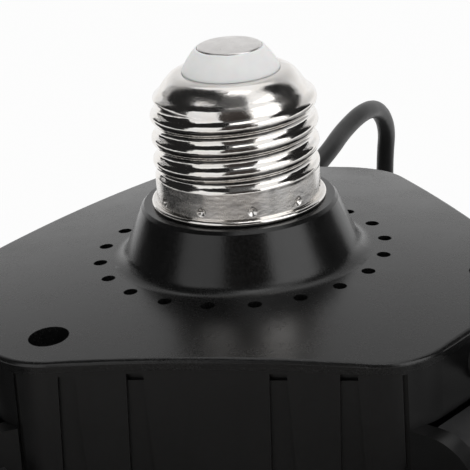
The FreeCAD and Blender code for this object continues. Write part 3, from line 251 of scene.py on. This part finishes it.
def plated_screw():
    """Zinc plate, cloudy in its gloss."""
    s = Surface("zinc plated screw", (0.55, 0.55, 0.57), 0.3, 1.0)
    s.vary_rough(s.noise(0.6, 3.0), 0.24, 0.4)
    s.bump(s.noise(0.3, 3.0), 0.004)
    return s


def black_steel():
    """Blackened bolts and nuts, a little rubbed."""
    s = Surface("blackened steel", (0.05, 0.05, 0.055), 0.42, 0.6)
    s.vary_rough(s.noise(0.8, 3.0), 0.34, 0.5)
    s.vary_color(s.noise(1.5, 4.0), (0.035, 0.035, 0.038), (0.075, 0.072, 0.07))
    s.bump(s.noise(0.3, 3.0), 0.004)
    return s


def white_moulding():
    """Matt white insulator with faint mottling and a little depth."""
    s = Surface("white insulator", (0.90, 0.895, 0.885), 0.5,
                sockets={"Subsurface Weight": 0.15, "Subsurface Scale": 1.0 * MM})
    s.vary_color(s.noise(2.2, 4.0), (0.885, 0.88, 0.87), (0.925, 0.92, 0.91))
    s.vary_rough(s.noise(1.2, 3.0), 0.42, 0.6)
    s.bump(s.noise(0.45, 3.0), 0.006)
    return s


def satin_contact():
    """Tinned contact, satin and faintly stained."""
    s = Surface("satin contact", (0.80, 0.78, 0.765), 0.34, 1.0)
    s.vary_rough(s.noise(0.8, 4.0), 0.27, 0.40)
    s.vary_color(s.noise(1.8, 4.0), (0.75, 0.73, 0.715), (0.85, 0.83, 0.815))
    s.bump(s.noise(0.25, 4.0), 0.003)
    return s


def rubber(name, base, rough, grain_mm):
    """Black rubber or soft jacket with a fine grain and a little sheen."""
    s = Surface(name, (base,) * 3, rough, sockets={"Sheen Weight": 0.08})
    s.vary_rough(s.noise(3.0, 3.0), rough * 0.9, rough * 1.12)
    s.vary_grey(s.noise(1.6, 4.0), base, 0.8, 1.3)
    s.bump(s.noise(grain_mm, 3.0), 0.008)
    return s


def cast_black():
    """Powder coat over a die casting: fine orange peel with a low sheen."""
    s = Surface("black powder coat", (0.014, 0.014, 0.0145), 0.4)
    s.vary_rough(s.noise(5.0, 3.0), 0.36, 0.45)
    s.vary_color(s.noise(1.3, 4.0), (0.011, 0.011, 0.0115), (0.018, 0.018, 0.0185))
    s.bump(s.noise(0.5, 2.0, 0.4), 0.014)
    s.bump(s.noise(0.16, 2.0), 0.004)
    return s


def frosted():
    """Milky lens that lets the rows of chips show faintly."""
    s = Surface("frosted lens", (0.90, 0.91, 0.91), 0.42,
                sockets={"Transmission Weight": 0.14, "IOR": 1.46})
    s.vary_rough(s.noise(1.2, 3.0), 0.38, 0.48)
    s.vary_color(s.noise(6.0, 3.0), (0.885, 0.90, 0.905), (0.92, 0.925, 0.915))
    s.bump(s.voronoi(0.7, "SMOOTH_F1"), 0.02)
    return s


def circuit_laminate():
    """Green solder mask over faint copper tracks."""
    s = Surface("circuit laminate", (0.02, 0.14, 0.05), 0.35)
    tracks = s.voronoi(3.2, "DISTANCE_TO_EDGE", 0.6)
    on_track = s.remap(tracks, (0.03, 0.06), (1.0, 0.0))
    s.drive("Base Color", s.blend_colors(on_track, (0.018, 0.12, 0.045), (0.04, 0.22, 0.09)))
    s.bump(on_track, 0.03)
    return s


def wound_copper():
    """Copper wire wound turn by turn."""
    s = Surface("wound copper", (0.55, 0.22, 0.08), 0.3, 1.0)
    turns = s.node("TexWave", {"Vector": s.coords, "Scale": 900.0},
                   wave_type="RINGS", rings_direction="Z").outputs["Fac"]
    s.vary_color(turns, (0.38, 0.13, 0.04), (0.68, 0.32, 0.12))
    s.bump(turns, 0.1)
    return s


def plain_detail(name, color, rough, grain_mm=0.5, spread=0.12):
    """Small inner piece: mottled by a share of its colour, with a light grain."""
    s = Surface(name, color, rough)
    s.vary_color(s.noise(grain_mm * 4, 4.0), tuple(c * (1 - spread) for c in color),
                 tuple(min(1.0, c * (1 + spread)) for c in color))
    s.vary_rough(s.noise(grain_mm * 3, 3.0), rough * 0.85, min(1.0, rough * 1.15))
    s.bump(s.noise(grain_mm, 3.0), 0.006)
    return s


MATERIALS = {
    "black_plastic": cover_black(),
    "black_housing": housing_black(),
    "black_casting": cast_black(),
    "nickel_shell": nickel(),
    "white_insulator": white_moulding(),
    "contact_metal": satin_contact(),
    "screw_steel": plated_screw(),
    "hinge_steel": black_steel(),
    "washer_nylon": plain_detail("dark nylon", (0.05, 0.05, 0.05), 0.5),
    "black_rubber": rubber("grommet rubber", 0.014, 0.55, 0.5),
    "cable_jacket": rubber("cable jacket", 0.012, 0.42, 0.6),
    "circuit_board": circuit_laminate(),
    "ferrite": plain_detail("ferrite", (0.05, 0.05, 0.055), 0.6, 0.4),
    "coil_tape": plain_detail("coil tape", (0.72, 0.52, 0.08), 0.3, 1.0),
    "capacitor_sleeve": plain_detail("shrink sleeve", (0.02, 0.02, 0.05), 0.3, 0.8),
    "film_case": plain_detail("film capacitor case", (0.55, 0.26, 0.03), 0.3, 0.6),
    "copper_winding": wound_copper(),
    "chip_plastic": plain_detail("chip package", (0.02, 0.02, 0.02), 0.55, 0.2),
    "connector_plastic": plain_detail("connector shell", (0.78, 0.78, 0.75), 0.45, 0.6, 0.05),
    "led_board_white": plain_detail("white solder mask", (0.85, 0.85, 0.84), 0.35, 0.7, 0.04),
    "led_phosphor": plain_detail("chip phosphor", (0.85, 0.66, 0.14), 0.5, 0.5),
    "frosted_lens": frosted(),
}


def dress(obj, slot_name):
    obj.data.materials.clear()
    obj.data.materials.append(MATERIALS[slot_name].mat)


for entry in frame["record"]["subparts"]:
    dress(nodes[entry["node"]], entry["material_slot"])


# ---------------------------------------------------------------------------
# bodies that are turned round the screw axis
# ---------------------------------------------------------------------------

def shade(obj, angle):
    """Smooth shading that keeps edges sharper than the angle."""
    obj.data.shade_smooth()
    obj.data.set_sharp_from_angle(angle=math.radians(angle))


def circle(radius, height, angles):
    """Ring of points; the radius is one number or one for each angle."""
    return np.stack([radius * np.cos(angles), radius * np.sin(angles),
                     np.full(len(angles), height)], 1) * MM


def skin(name, verts, rings, closed, slot_name):
    """Body between neighbouring rings; a ring may be one point repeated, on the axis."""
    faces = []
    count = len(rings[0])
    for k in range(len(rings) if closed else len(rings) - 1):
        low, high = rings[k], rings[(k + 1) % len(rings)]
        for j in range(count):
            m = (j + 1) % count
            faces.append(tuple(dict.fromkeys((low[j], low[m], high[m], high[j]))))
    mesh = bpy.data.meshes.new(name)
    mesh.from_pydata([tuple(v) for v in verts], [], faces)
    mesh.update()
    obj = bpy.data.objects.new(name, mesh)
    bpy.context.scene.collection.objects.link(obj)
    dress(obj, slot_name)
    shade(obj, 32.0)
    return obj


# ---------------------------------------------------------------------------
# screw shell with its round thread, bead and punch marks
# ---------------------------------------------------------------------------

BAND_RADIUS = 13.0
BAND_FOOT = -2.0
BAND_TOP = 2.0
CREST_RADIUS = 13.2
ROOT_RADIUS = 12.35
THREAD_DEPTH = CREST_RADIUS - ROOT_RADIUS
PITCH = 3.629
THREAD_PHASE_Z = 6.27           # a crest's height at THREAD_PHASE_ANGLE
THREAD_PHASE_ANGLE = 9.87
RUN_IN = 1.5                    # height over which the thread grows out of the band
RUN_OUT = (13.9, 15.9)          # heights over which it fades into the shoulder
MOUTH_RADIUS, MOUTH_Z = 7.8, 18.4
SHOULDER_HEIGHTS = (13.3, 14.2, 15.1, 15.9, 16.6, 17.3, 17.9, 18.25, MOUTH_Z)
SHOULDER_RADII = (ROOT_RADIUS, 12.3, 11.9, 11.4, 10.95, 10.4, 9.7, 8.9, MOUTH_RADIUS)
SHOULDER_END_STEEPNESS = 1.6    # slope at the mouth over that of the last stretch
SHEET = 0.35
LIP = ((0.06, 0.02), (0.08, 0.2))   # steps inwards and down from the mouth
INNER_SHOULDER = (0.5, 14.0, 8)     # its drop from the mouth, its foot's height, its rows
INNER_SHOULDER_GAP = 0.1        # how much further in than the sheet it lies
INNER_WALL_TOP = 13.0
INNER_WALL_FOOT = -2.85

BEAD_OUTER_RADIUS = 13.87
BEAD_ROUND = 0.45
BEAD_Z = -2.45
BEAD_SWEEP = (-90, 115, 16)     # degrees of its round from the underside up, and rows
BEAD_UNDERSIDE = -2.9           # height of the sheet's inner edge there
HOLLOW_SWEEP = (0.1, 1, 4)      # shares of the way from bead to band, and rows

DIMPLES = 10
DIMPLE_STEP = 360.0 / DIMPLES
DIMPLE_Z = -0.85
DIMPLE_RADIUS = 0.72
DIMPLE_DEPTH = 0.36

# how finely the skin is divided: degrees round it, millimetres up it
COLUMN_STEP = 1.2
DIMPLE_COLUMN_STEP = 0.3
DIMPLE_COLUMN_REACH = 3.0
ROW_STEPS = ((BAND_FOOT, -1.6, 0.1), (-1.6, -0.1, 0.075), (-0.1, BAND_TOP, 0.3),
             (BAND_TOP, 16.0, 0.125))
SHOULDER_ROWS = ((16.0, 17.9, 20), (17.96, MOUTH_Z, 10))


def smoothstep(t):
    t = np.clip(t, 0.0, 1.0)
    return t * t * (3 - 2 * t)


def thread_ridge(turns):
    """Round thread of equal arcs: 0 at the root and 1 at the crest, by turns."""
    arc = (PITCH ** 2 / 4 + THREAD_DEPTH ** 2) / (4 * THREAD_DEPTH)
    from_crest = np.abs(((turns + 0.5) % 1.0) - 0.5) * PITCH
    from_root = PITCH / 2 - from_crest
    below_crest = arc - np.sqrt(np.maximum(arc ** 2 - from_crest ** 2, 0))
    above_root = arc - np.sqrt(np.maximum(arc ** 2 - from_root ** 2, 0))
    return np.where(from_crest < PITCH / 4, 1 - below_crest / THREAD_DEPTH,
                    above_root / THREAD_DEPTH)


def shoulder_radius(z):
    """Radius over the shoulder: a smooth curve that never overshoots its points."""
    x, y = np.array(SHOULDER_HEIGHTS), np.array(SHOULDER_RADII)
    width, rise = np.diff(x), np.diff(y)
    slope = rise / width
    inner = 3 * (width[1:] + width[:-1]) / ((2 * width[1:] + width[:-1]) / slope[:-1]
                                            + (width[1:] + 2 * width[:-1]) / slope[1:])
    ends = np.concatenate([[0.0], inner, [slope[-1] * SHOULDER_END_STEEPNESS]])
    z = np.clip(z, x[0], x[-1])
    k = np.clip(np.searchsorted(x, z, side="right") - 1, 0, len(width) - 1)
    t = (z - x[k]) / width[k]
    return (y[k] + t * t * (3 - 2 * t) * rise[k]
            + width[k] * t * (1 - t) * ((1 - t) * ends[k] - t * ends[k + 1]))


def shell_radius(angle, z):
    """Outer radius of band, thread and shoulder, with the punch marks pressed in."""
    turns = (z - THREAD_PHASE_Z) / PITCH - (angle - THREAD_PHASE_ANGLE) / 360.0
    ridge = thread_ridge(turns) * THREAD_DEPTH
    ridge = ridge * (1 - smoothstep((z - RUN_OUT[0]) / (RUN_OUT[1] - RUN_OUT[0])))
    threaded = shoulder_radius(z) + ridge
    radius = BAND_RADIUS + (threaded - BAND_RADIUS) * smoothstep((z - BAND_TOP) / RUN_IN)
    off = (angle + DIMPLE_STEP / 2) % DIMPLE_STEP - DIMPLE_STEP / 2
    across = np.hypot(np.radians(off) * BAND_RADIUS, z - DIMPLE_Z) / DIMPLE_RADIUS
    pressed = np.where(across < 1, (1 - np.minimum(across, 1) ** 2) ** 1.5, 0)
    return radius - DIMPLE_DEPTH * pressed


def shell_columns():
    """Angles of the skin's columns, closer together at the punch marks."""
    angles = set(np.round(np.arange(0, 360, COLUMN_STEP), 3))
    offsets = np.arange(-DIMPLE_COLUMN_REACH, DIMPLE_COLUMN_REACH + 0.01, DIMPLE_COLUMN_STEP)
    for i in range(DIMPLES):
        angles.update(round(float((i * DIMPLE_STEP + off) % 360), 3) for off in offsets)
    return np.array(sorted(angles))


def bead_rows():
    """Beaded flange below the band, and the hollow that leads up to the band."""
    rows = []
    for a in np.radians(np.linspace(*BEAD_SWEEP)):
        rows.append((BEAD_OUTER_RADIUS - BEAD_ROUND + BEAD_ROUND * math.cos(a),
                     BEAD_Z + BEAD_ROUND * math.sin(a)))
    radius, z = rows[-1]
    for t in np.linspace(*HOLLOW_SWEEP):
        rows.append((radius + (BAND_RADIUS - radius) * t, z + (BAND_FOOT - z) * t ** 2))
    return rows


def inner_rows():
    """Rolled mouth, then the inside of the sheet down to the foot."""
    rows = [(MOUTH_RADIUS - inwards, MOUTH_Z - down) for inwards, down in LIP]
    drop, foot, count = INNER_SHOULDER
    for z in np.linspace(MOUTH_Z - drop, foot, count):
        outer = float(shoulder_radius(np.array(z + SHEET)))
        rows.append((outer - SHEET - INNER_SHOULDER_GAP, z))
    return rows + [(ROOT_RADIUS - SHEET, z) for z in (INNER_WALL_TOP, INNER_WALL_FOOT)]


def screw_shell():
    """Closed sheet: outside from the bead up to the mouth, then down the inside."""
    angles = shell_columns()
    formed = np.concatenate([np.arange(*row) for row in ROW_STEPS]
                            + [np.linspace(*row) for row in SHOULDER_ROWS])[1:]
    rows = [(BAND_RADIUS - SHEET, BEAD_UNDERSIDE)] + bead_rows()
    rows += [(shell_radius(angles, np.full(len(angles), z)), z) for z in formed]
    rows += inner_rows()
    verts = np.concatenate([circle(radius, z, np.radians(angles)) for radius, z in rows])
    rings = np.arange(len(verts)).reshape(len(rows), len(angles)).tolist()
    obj = skin("screw_shell_formed", verts, rings, True, "nickel_shell")
    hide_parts("screw_shell")
    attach(obj, "hub")


screw_shell()


# ---------------------------------------------------------------------------
# insulator and centre contact
# ---------------------------------------------------------------------------

SEAT_Z = 21.55                  # where the contact sits on the insulator
CONE_FOOT = (7.7, 18.6)         # radius and height
CONE_TOP = (5.62, 21.78)
CONE_BULGE = 0.16
CONE_OUTWARD = (0.84, 0.55)     # square to the cone's slope
CONE_POINTS = 12
BORE_RADIUS = 1.3
PLUG_RADIUS = 7.45
PLUG_FOOT = 15.2
PLUG_TOP = 18.42
RIM = ((5.53, 21.90), (5.42, 22.0), (5.30, 22.06), (5.16, 22.08), (5.14, 22.0), (5.14, SEAT_Z))

SHANK_RADIUS = 1.2
SHANK_FOOT = 13.05
CONTACT_SIDE = ((5.0, SEAT_Z), (5.08, 21.62), (5.08, 22.0))
CROWN_TOP = 22.45
CROWN_FALL = 0.14               # from the contact's middle to its edge
CROWN_RADIUS = 4.78             # where the edge begins to turn down
CROWN_EDGE_ROUND = 0.3
CROWN_EDGE_SWEEP = (10, 91, 10)     # degrees round the edge
CROWN_RADII = (4.4, 0.0, 12)    # from inside the edge to the middle, and rows

LATHE_STEPS = 128


def insulator_profile():
    """Plug, cone that stands out a little from a straight one, thin rim and seat."""
    rows = [(BORE_RADIUS, PLUG_FOOT), (PLUG_RADIUS, PLUG_FOOT), (PLUG_RADIUS, PLUG_TOP),
            (CONE_FOOT[0], PLUG_TOP)]
    for t in np.linspace(0, 1, CONE_POINTS):
        swell = CONE_BULGE * 4 * t * (1 - t)
        rows.append(tuple(foot + (top - foot) * t + swell * outward for foot, top, outward
                          in zip(CONE_FOOT, CONE_TOP, CONE_OUTWARD)))
    return rows + [*RIM, (BORE_RADIUS, SEAT_Z)]


def contact_profile():
    """Shank, side, rounded edge and crowned top."""
    rows = [(0.0, SHANK_FOOT), (SHANK_RADIUS, SHANK_FOOT), (SHANK_RADIUS, SEAT_Z), *CONTACT_SIDE]
    for a in np.radians(np.arange(*CROWN_EDGE_SWEEP)):
        rows.append((CROWN_RADIUS + CROWN_EDGE_ROUND * math.cos(a),
                     CROWN_TOP - CROWN_FALL - CROWN_EDGE_ROUND
                     + CROWN_EDGE_ROUND * math.sin(a)))
    for r in np.linspace(*CROWN_RADII):
        rows.append((r, CROWN_TOP - CROWN_FALL * (r / CROWN_RADIUS) ** 2))
    return rows


def lathed(name, profile, slot_name, node):
    """Body turned from a profile of radii and heights; radius 0 is one point."""
    angles = np.radians(np.arange(LATHE_STEPS) * 360.0 / LATHE_STEPS)
    verts, rings = [], []
    for radius, z in profile:
        start = len(verts)
        if radius > 0:
            verts.extend(circle(radius, z, angles))
            rings.append(list(range(start, start + LATHE_STEPS)))
        else:
            verts.append((0.0, 0.0, z * MM))
            rings.append([start] * LATHE_STEPS)
    starts_off_axis = profile[0][0] > 0
    obj = skin(name, verts, rings, starts_off_axis, slot_name)
    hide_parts(node)
    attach(obj, "hub")


lathed("base_insulator_turned", insulator_profile(), "white_insulator", "base_insulator")
lathed("centre_contact_turned", contact_profile(), "contact_metal", "centre_contact")


# ---------------------------------------------------------------------------
# cables, one over each hinge
# ---------------------------------------------------------------------------

CABLE_RADIUS = 1.7
GROMMET = Vector((46.0, -1.5, -19.5))
NOSE_LENGTH = 5.0
CABLE_ROUTE = (
    (58.0, -7.0, -15.9), (66.5, -9.0, -14.4), (75.0, -12.0, -13.4),
    (83.0, -14.0, -15.4), (89.5, -15.0, -21.4), (92.5, -14.0, -28.4),
)
GLAND_ENTRY = Vector((89.2577, -13.5, -44.1907))
GLAND_RUN = 8.5                 # straight stretch above the gland
GLAND_LEAN = math.radians(30)


def turned(point, facing):
    """Turns a place from +X to a wing's facing."""
    a = math.radians(facing)
    x, y, z = point
    return Vector((x * math.cos(a) - y * math.sin(a), x * math.sin(a) + y * math.cos(a), z))


def cable_points():
    """Route from the grommet's nose to the gland, for a wing that faces along +X."""
    nose = (Vector(CABLE_ROUTE[0]) - GROMMET).normalized()
    lean = Vector((math.sin(GLAND_LEAN), 0, math.cos(GLAND_LEAN)))
    return [GROMMET + nose * NOSE_LENGTH, *map(Vector, CABLE_ROUTE),
            GLAND_ENTRY + lean * GLAND_RUN, GLAND_ENTRY]


def swept_tube(name, points):
    """Mesh of a round tube along a smooth curve that the points pull into shape."""
    curve = bpy.data.curves.new(name, "CURVE")
    curve.dimensions = "3D"
    spline = curve.splines.new("NURBS")
    spline.points.add(len(points) - 1)
    for control, point in zip(spline.points, points):
        control.co = (*point, 1.0)
    spline.order_u = 3
    spline.use_endpoint_u = True
    spline.resolution_u = 14
    curve.bevel_depth = CABLE_RADIUS * MM
    curve.bevel_resolution = 8
    curve.use_fill_caps = True
    source = bpy.data.objects.new(name, curve)
    bpy.context.scene.collection.objects.link(source)
    bpy.context.view_layer.update()
    mesh = bpy.data.meshes.new_from_object(
        source.evaluated_get(bpy.context.evaluated_depsgraph_get()))
    bpy.data.objects.remove(source)
    return mesh


def cable(number, facing):
    """Cable of one wing."""
    points = cable_points()
    mesh = swept_tube("cable_route_%d" % number, [turned(p, facing) * MM for p in points])
    obj = bpy.data.objects.new("wing_%d_cable_jacket" % number, mesh)
    bpy.context.scene.collection.objects.link(obj)
    dress(obj, "cable_jacket")
    shade(obj, 60.0)
    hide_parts("wing_%d_cable" % number)
    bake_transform(obj)


for number, facing in WINGS:
    cable(number, facing)


# ---------------------------------------------------------------------------
# camera, solved from the thread, the ring of vents and the cover's outline
# ---------------------------------------------------------------------------

VIEW_AZIMUTH = math.radians(9.87)       # to the right of the front plain side
ELEVATION = math.radians(20.871)
ROLL = math.radians(-3.919)
DISTANCE = 374.303
TARGET = Vector((-1.108, 0.0, 2.733))
TARGET_DROP = 12.0              # the target's height is counted from this far below
FOCAL_LENGTH_PX = 2341.28
PICTURE_WIDTH_PX = 470
SENSOR_WIDTH = 36.0


def camera():
    """Camera on its ray through the target, rolled about that ray."""
    turn = Matrix.Rotation(VIEW_AZIMUTH, 3, "Z")
    back = Vector((0, -math.cos(ELEVATION), math.sin(ELEVATION)))
    right = Vector((1, 0, 0))
    up = back.cross(right)
    rolled_right = right * math.cos(ROLL) + up * math.sin(ROLL)
    rolled_up = -right * math.sin(ROLL) + up * math.cos(ROLL)
    axes = Matrix((turn @ rolled_right, turn @ rolled_up, turn @ back)).transposed()
    place = turn @ (TARGET + back * DISTANCE) - Vector((0, 0, TARGET_DROP))
    data = bpy.data.cameras.new("camera")
    data.sensor_width = SENSOR_WIDTH
    data.lens = FOCAL_LENGTH_PX / PICTURE_WIDTH_PX * SENSOR_WIDTH
    data.dof.use_dof = False
    data.clip_start = 0.01
    data.clip_end = 50.0
    obj = bpy.data.objects.new("camera", data)
    bpy.context.scene.collection.objects.link(obj)
    obj.matrix_world = Matrix.Translation(place * MM) @ axes.to_4x4()
    bpy.context.scene.camera = obj


camera()


# ---------------------------------------------------------------------------
# studio: cards, sheets of painted floor shade and soft boxes, placed by azimuth and elevation
# ---------------------------------------------------------------------------

BOARD_DISTANCE = 1.5
BOARD_FACET = 4                 # degrees
# the next two set the sheets of painted floor shade
SHADE_SHEET_FACET = 3                 # degrees
SHADE_SHEET_GAP = 0.0002              # below the object; the floor lies a little lower
FLOOR_GAP = 0.0005
FLOOR_HALF_SIZE = 6.0
PAPER = (0.96, 0.96, 0.96, 1)
PAPER_GLOW_SHARE = 0.9          # how far the floor is seen as plain white
AMBIENT = 0.62
WHITE = (1, 1, 1, 1)


def studio_direction(azimuth, elevation):
    """Unit vector from the object towards a place, azimuth 0 at the camera's side."""
    a = math.radians(azimuth - 90.0) + VIEW_AZIMUTH
    e = math.radians(elevation)
    return Vector((math.cos(a) * math.cos(e), math.sin(a) * math.cos(e), math.sin(e)))


def soft_box(name, azimuth, elevation, distance, size, radiance, shiny=True):
    """Square light towards the object; shiny surfaces may or may not mirror it."""
    data = bpy.data.lights.new(name, "AREA")
    data.shape = "RECTANGLE"
    data.size, data.size_y = size
    data.energy = radiance * math.pi * size[0] * size[1]
    lamp = bpy.data.objects.new(name, data)
    bpy.context.scene.collection.objects.link(lamp)
    way = studio_direction(azimuth, elevation)
    lamp.location = way * distance
    lamp.rotation_mode = "QUATERNION"
    lamp.rotation_quaternion = way.to_track_quat("Z", "Y")
    lamp.visible_camera = False
    lamp.visible_glossy = shiny


def staged(name, verts, faces, mat):
    """A piece of the set."""
    mesh = bpy.data.meshes.new(name)
    mesh.from_pydata([tuple(v) for v in verts], [], faces)
    mesh.materials.append(mat)
    obj = bpy.data.objects.new(name, mesh)
    bpy.context.scene.collection.objects.link(obj)
    return obj


def mirrored_sheet(name, columns, mat):
    """Sheet between columns of points that only shiny surfaces see."""
    rows = len(columns[0])
    faces = []
    for i in range(len(columns) - 1):
        for k in range(rows - 1):
            first = i * rows + k
            faces.append((first, first + 1, first + rows + 1, first + rows))
    obj = staged(name, [point for column in columns for point in column], faces, mat)
    obj.visible_camera = False
    obj.visible_diffuse = False
    obj.visible_shadow = False
    obj.visible_transmission = False


def stations(span, facet):
    """Evenly spaced values over a span, about a facet apart."""
    steps = max(2, int(abs(span[1] - span[0]) / facet))
    return [span[0] + (span[1] - span[0]) * i / steps for i in range(steps + 1)]


def board(name, azimuths, elevations, mat):
    """Card screen bent round the set."""
    columns = [[studio_direction(a, e) * BOARD_DISTANCE for e in stations(elevations, BOARD_FACET)]
               for a in stations(azimuths, BOARD_FACET)]
    mirrored_sheet(name, columns, mat)


def floor_shade_sheet(name, azimuths, radii, mat):
    """Painted floor shade: a sheet just above the floor over part of a ring round the object,
    which only shiny surfaces mirror.
    """
    low = Vector((0, 0, cad_low.z - SHADE_SHEET_GAP))
    columns = [[studio_direction(a, 0) * r + low for r in radii]
               for a in stations(azimuths, SHADE_SHEET_FACET)]
    mirrored_sheet(name, columns, mat)


def card(name, measure, span, levels, tint=(1.0, 1.0, 1.0)):
    """Card whose level runs along its height, or along its reach from the object."""
    mat = bpy.data.materials.new(name)
    tree = empty_tree(mat)
    place = add_node(tree, "TexCoord").outputs["Object"]
    if measure == "height":
        value = add_node(tree, "SeparateXYZ", {0: place}).outputs["Z"]
    else:
        value = add_node(tree, "VectorMath", {0: place}, operation="LENGTH").outputs["Value"]
    level = add_node(tree, "MapRange", {"Value": value, "From Min": span[0],
                                        "From Max": span[1], "To Min": levels[0],
                                        "To Max": levels[1]})
    glow = add_node(tree, "Emission", {"Color": (*tint, 1.0),
                                       "Strength": level.outputs["Result"]})
    add_node(tree, "OutputMaterial", {"Surface": glow.outputs[0]})
    return mat


def plain_card(name, level, tint=(1.0, 1.0, 1.0)):
    return card(name, "height", (0.0, 1.0), (level, level), tint)


dark_card = plain_card("dark card", 0.014)
dark_front = plain_card("dark front card", 0.04, (1.0, 0.86, 0.78))
dark_front_high = card("dark front card above", "height", (0.95, 1.40), (0.06, 0.12))
overhead = plain_card("overhead card", 2.0)
grey_left = card("grey card", "height", (0.2, 0.9), (0.84, 1.0))
behind = card("backdrop card", "height", (0.25, 1.15), (0.95, 0.42))
# painted floor shade: the floor as shiny surfaces mirror it is darkened, darkest near the object
# where its shadow falls, lighter further out
painted_floor_shade_side = card("painted floor shade side", "reach", (0.34, 0.6), (0.015, 0.4))
painted_floor_shade_corner = card("painted floor shade corner", "reach", (0.19, 0.28), (0.02, 0.5))
painted_floor_shade_right = card("painted floor shade right", "reach", (0.2, 0.5), (0.28, 0.65))
painted_floor_shade_front = card("painted floor shade front", "reach", (0.18, 0.50), (0.02, 0.75), (1.0, 0.955, 0.92))

for name, azimuths, elevations, mat in (
        ("board_front", (-22, 28), (-4, 40), dark_front),
        ("board_front_high", (-22, 28), (40, 68), dark_front_high),
        ("board_overhead", (-22, 70), (70, 94), overhead),
        ("board_right", (76, 123), (-4, 62), dark_card),
        ("board_left", (-140, -69), (-4, 78), dark_card),
        ("board_left_high", (-69, -22), (42, 88), dark_card),
        ("board_left_grey", (-69, -22), (-4, 42), grey_left),
        ("board_behind", (118, 235), (8, 50), behind)):
    board(name, azimuths, elevations, mat)

# sheets of painted floor shade round the object, seen only in reflections
for name, azimuths, radii, mat in (
        ("painted_floor_shade_left", (-135, -50), (0.06, 0.6), painted_floor_shade_side),
        ("painted_floor_shade_front", (-50, 31), (0.06, 0.50), painted_floor_shade_front),
        ("painted_floor_shade_corner", (31, 85), (0.06, 0.45), painted_floor_shade_corner),
        ("painted_floor_shade_right", (85, 135), (0.06, 0.5), painted_floor_shade_right)):
    floor_shade_sheet(name, azimuths, radii, mat)

soft_box("soft_box_right", azimuth=52, elevation=26, distance=1.2, size=(0.95, 0.75),
         radiance=0.8)
soft_box("soft_box_top", azimuth=180, elevation=78, distance=1.3, size=(1.2, 1.2),
         radiance=0.9, shiny=False)


def either(tree, first, second):
    """1 where either of two ray kinds is 1."""
    return add_node(tree, "Math", {0: first, 1: second}, operation="MAXIMUM").outputs[0]


def world():
    """Even light; plain white to the camera and to what is mirrored or seen through."""
    made = bpy.data.worlds.new("studio")
    bpy.context.scene.world = made
    tree = empty_tree(made)
    rays = add_node(tree, "LightPath").outputs
    seen = either(tree, either(tree, rays["Is Camera Ray"], rays["Is Glossy Ray"]),
                  rays["Is Transmission Ray"])
    ambient = add_node(tree, "Background", {"Color": WHITE, "Strength": AMBIENT})
    shown = add_node(tree, "Background", {"Color": WHITE, "Strength": 1.0})
    mix = add_node(tree, "MixShader", {0: seen, 1: ambient.outputs[0], 2: shown.outputs[0]})
    add_node(tree, "OutputWorld", {"Surface": mix.outputs[0]})


def floor():
    """White paper that takes the object's shadow, and is clear from below."""
    mat = bpy.data.materials.new("pale floor")
    tree = empty_tree(mat)
    rays = add_node(tree, "LightPath").outputs
    share = add_node(tree, "Math", {0: either(tree, rays["Is Camera Ray"],
                                              rays["Is Glossy Ray"]),
                                    1: PAPER_GLOW_SHARE}, operation="MULTIPLY")
    paper = add_node(tree, "BsdfDiffuse", {"Color": PAPER})
    glow = add_node(tree, "Emission", {"Strength": 1.0})
    lit = add_node(tree, "MixShader", {0: share.outputs[0], 1: paper.outputs[0],
                                       2: glow.outputs[0]})
    from_below = add_node(tree, "Math", {0: add_node(tree, "NewGeometry").outputs["Backfacing"],
                                         1: rays["Is Camera Ray"]}, operation="MULTIPLY")
    clear = add_node(tree, "BsdfTransparent")
    final = add_node(tree, "MixShader", {0: from_below.outputs[0], 1: lit.outputs[0],
                                         2: clear.outputs[0]})
    add_node(tree, "OutputMaterial", {"Surface": final.outputs[0]})
    size, low = FLOOR_HALF_SIZE, cad_low.z - FLOOR_GAP
    corners = [(-size, -size, low), (size, -size, low), (size, size, low), (-size, size, low)]
    staged("floor", corners, [(0, 1, 2, 3)], mat)


world()
floor()

bpy.context.scene.view_settings.view_transform = "Standard"
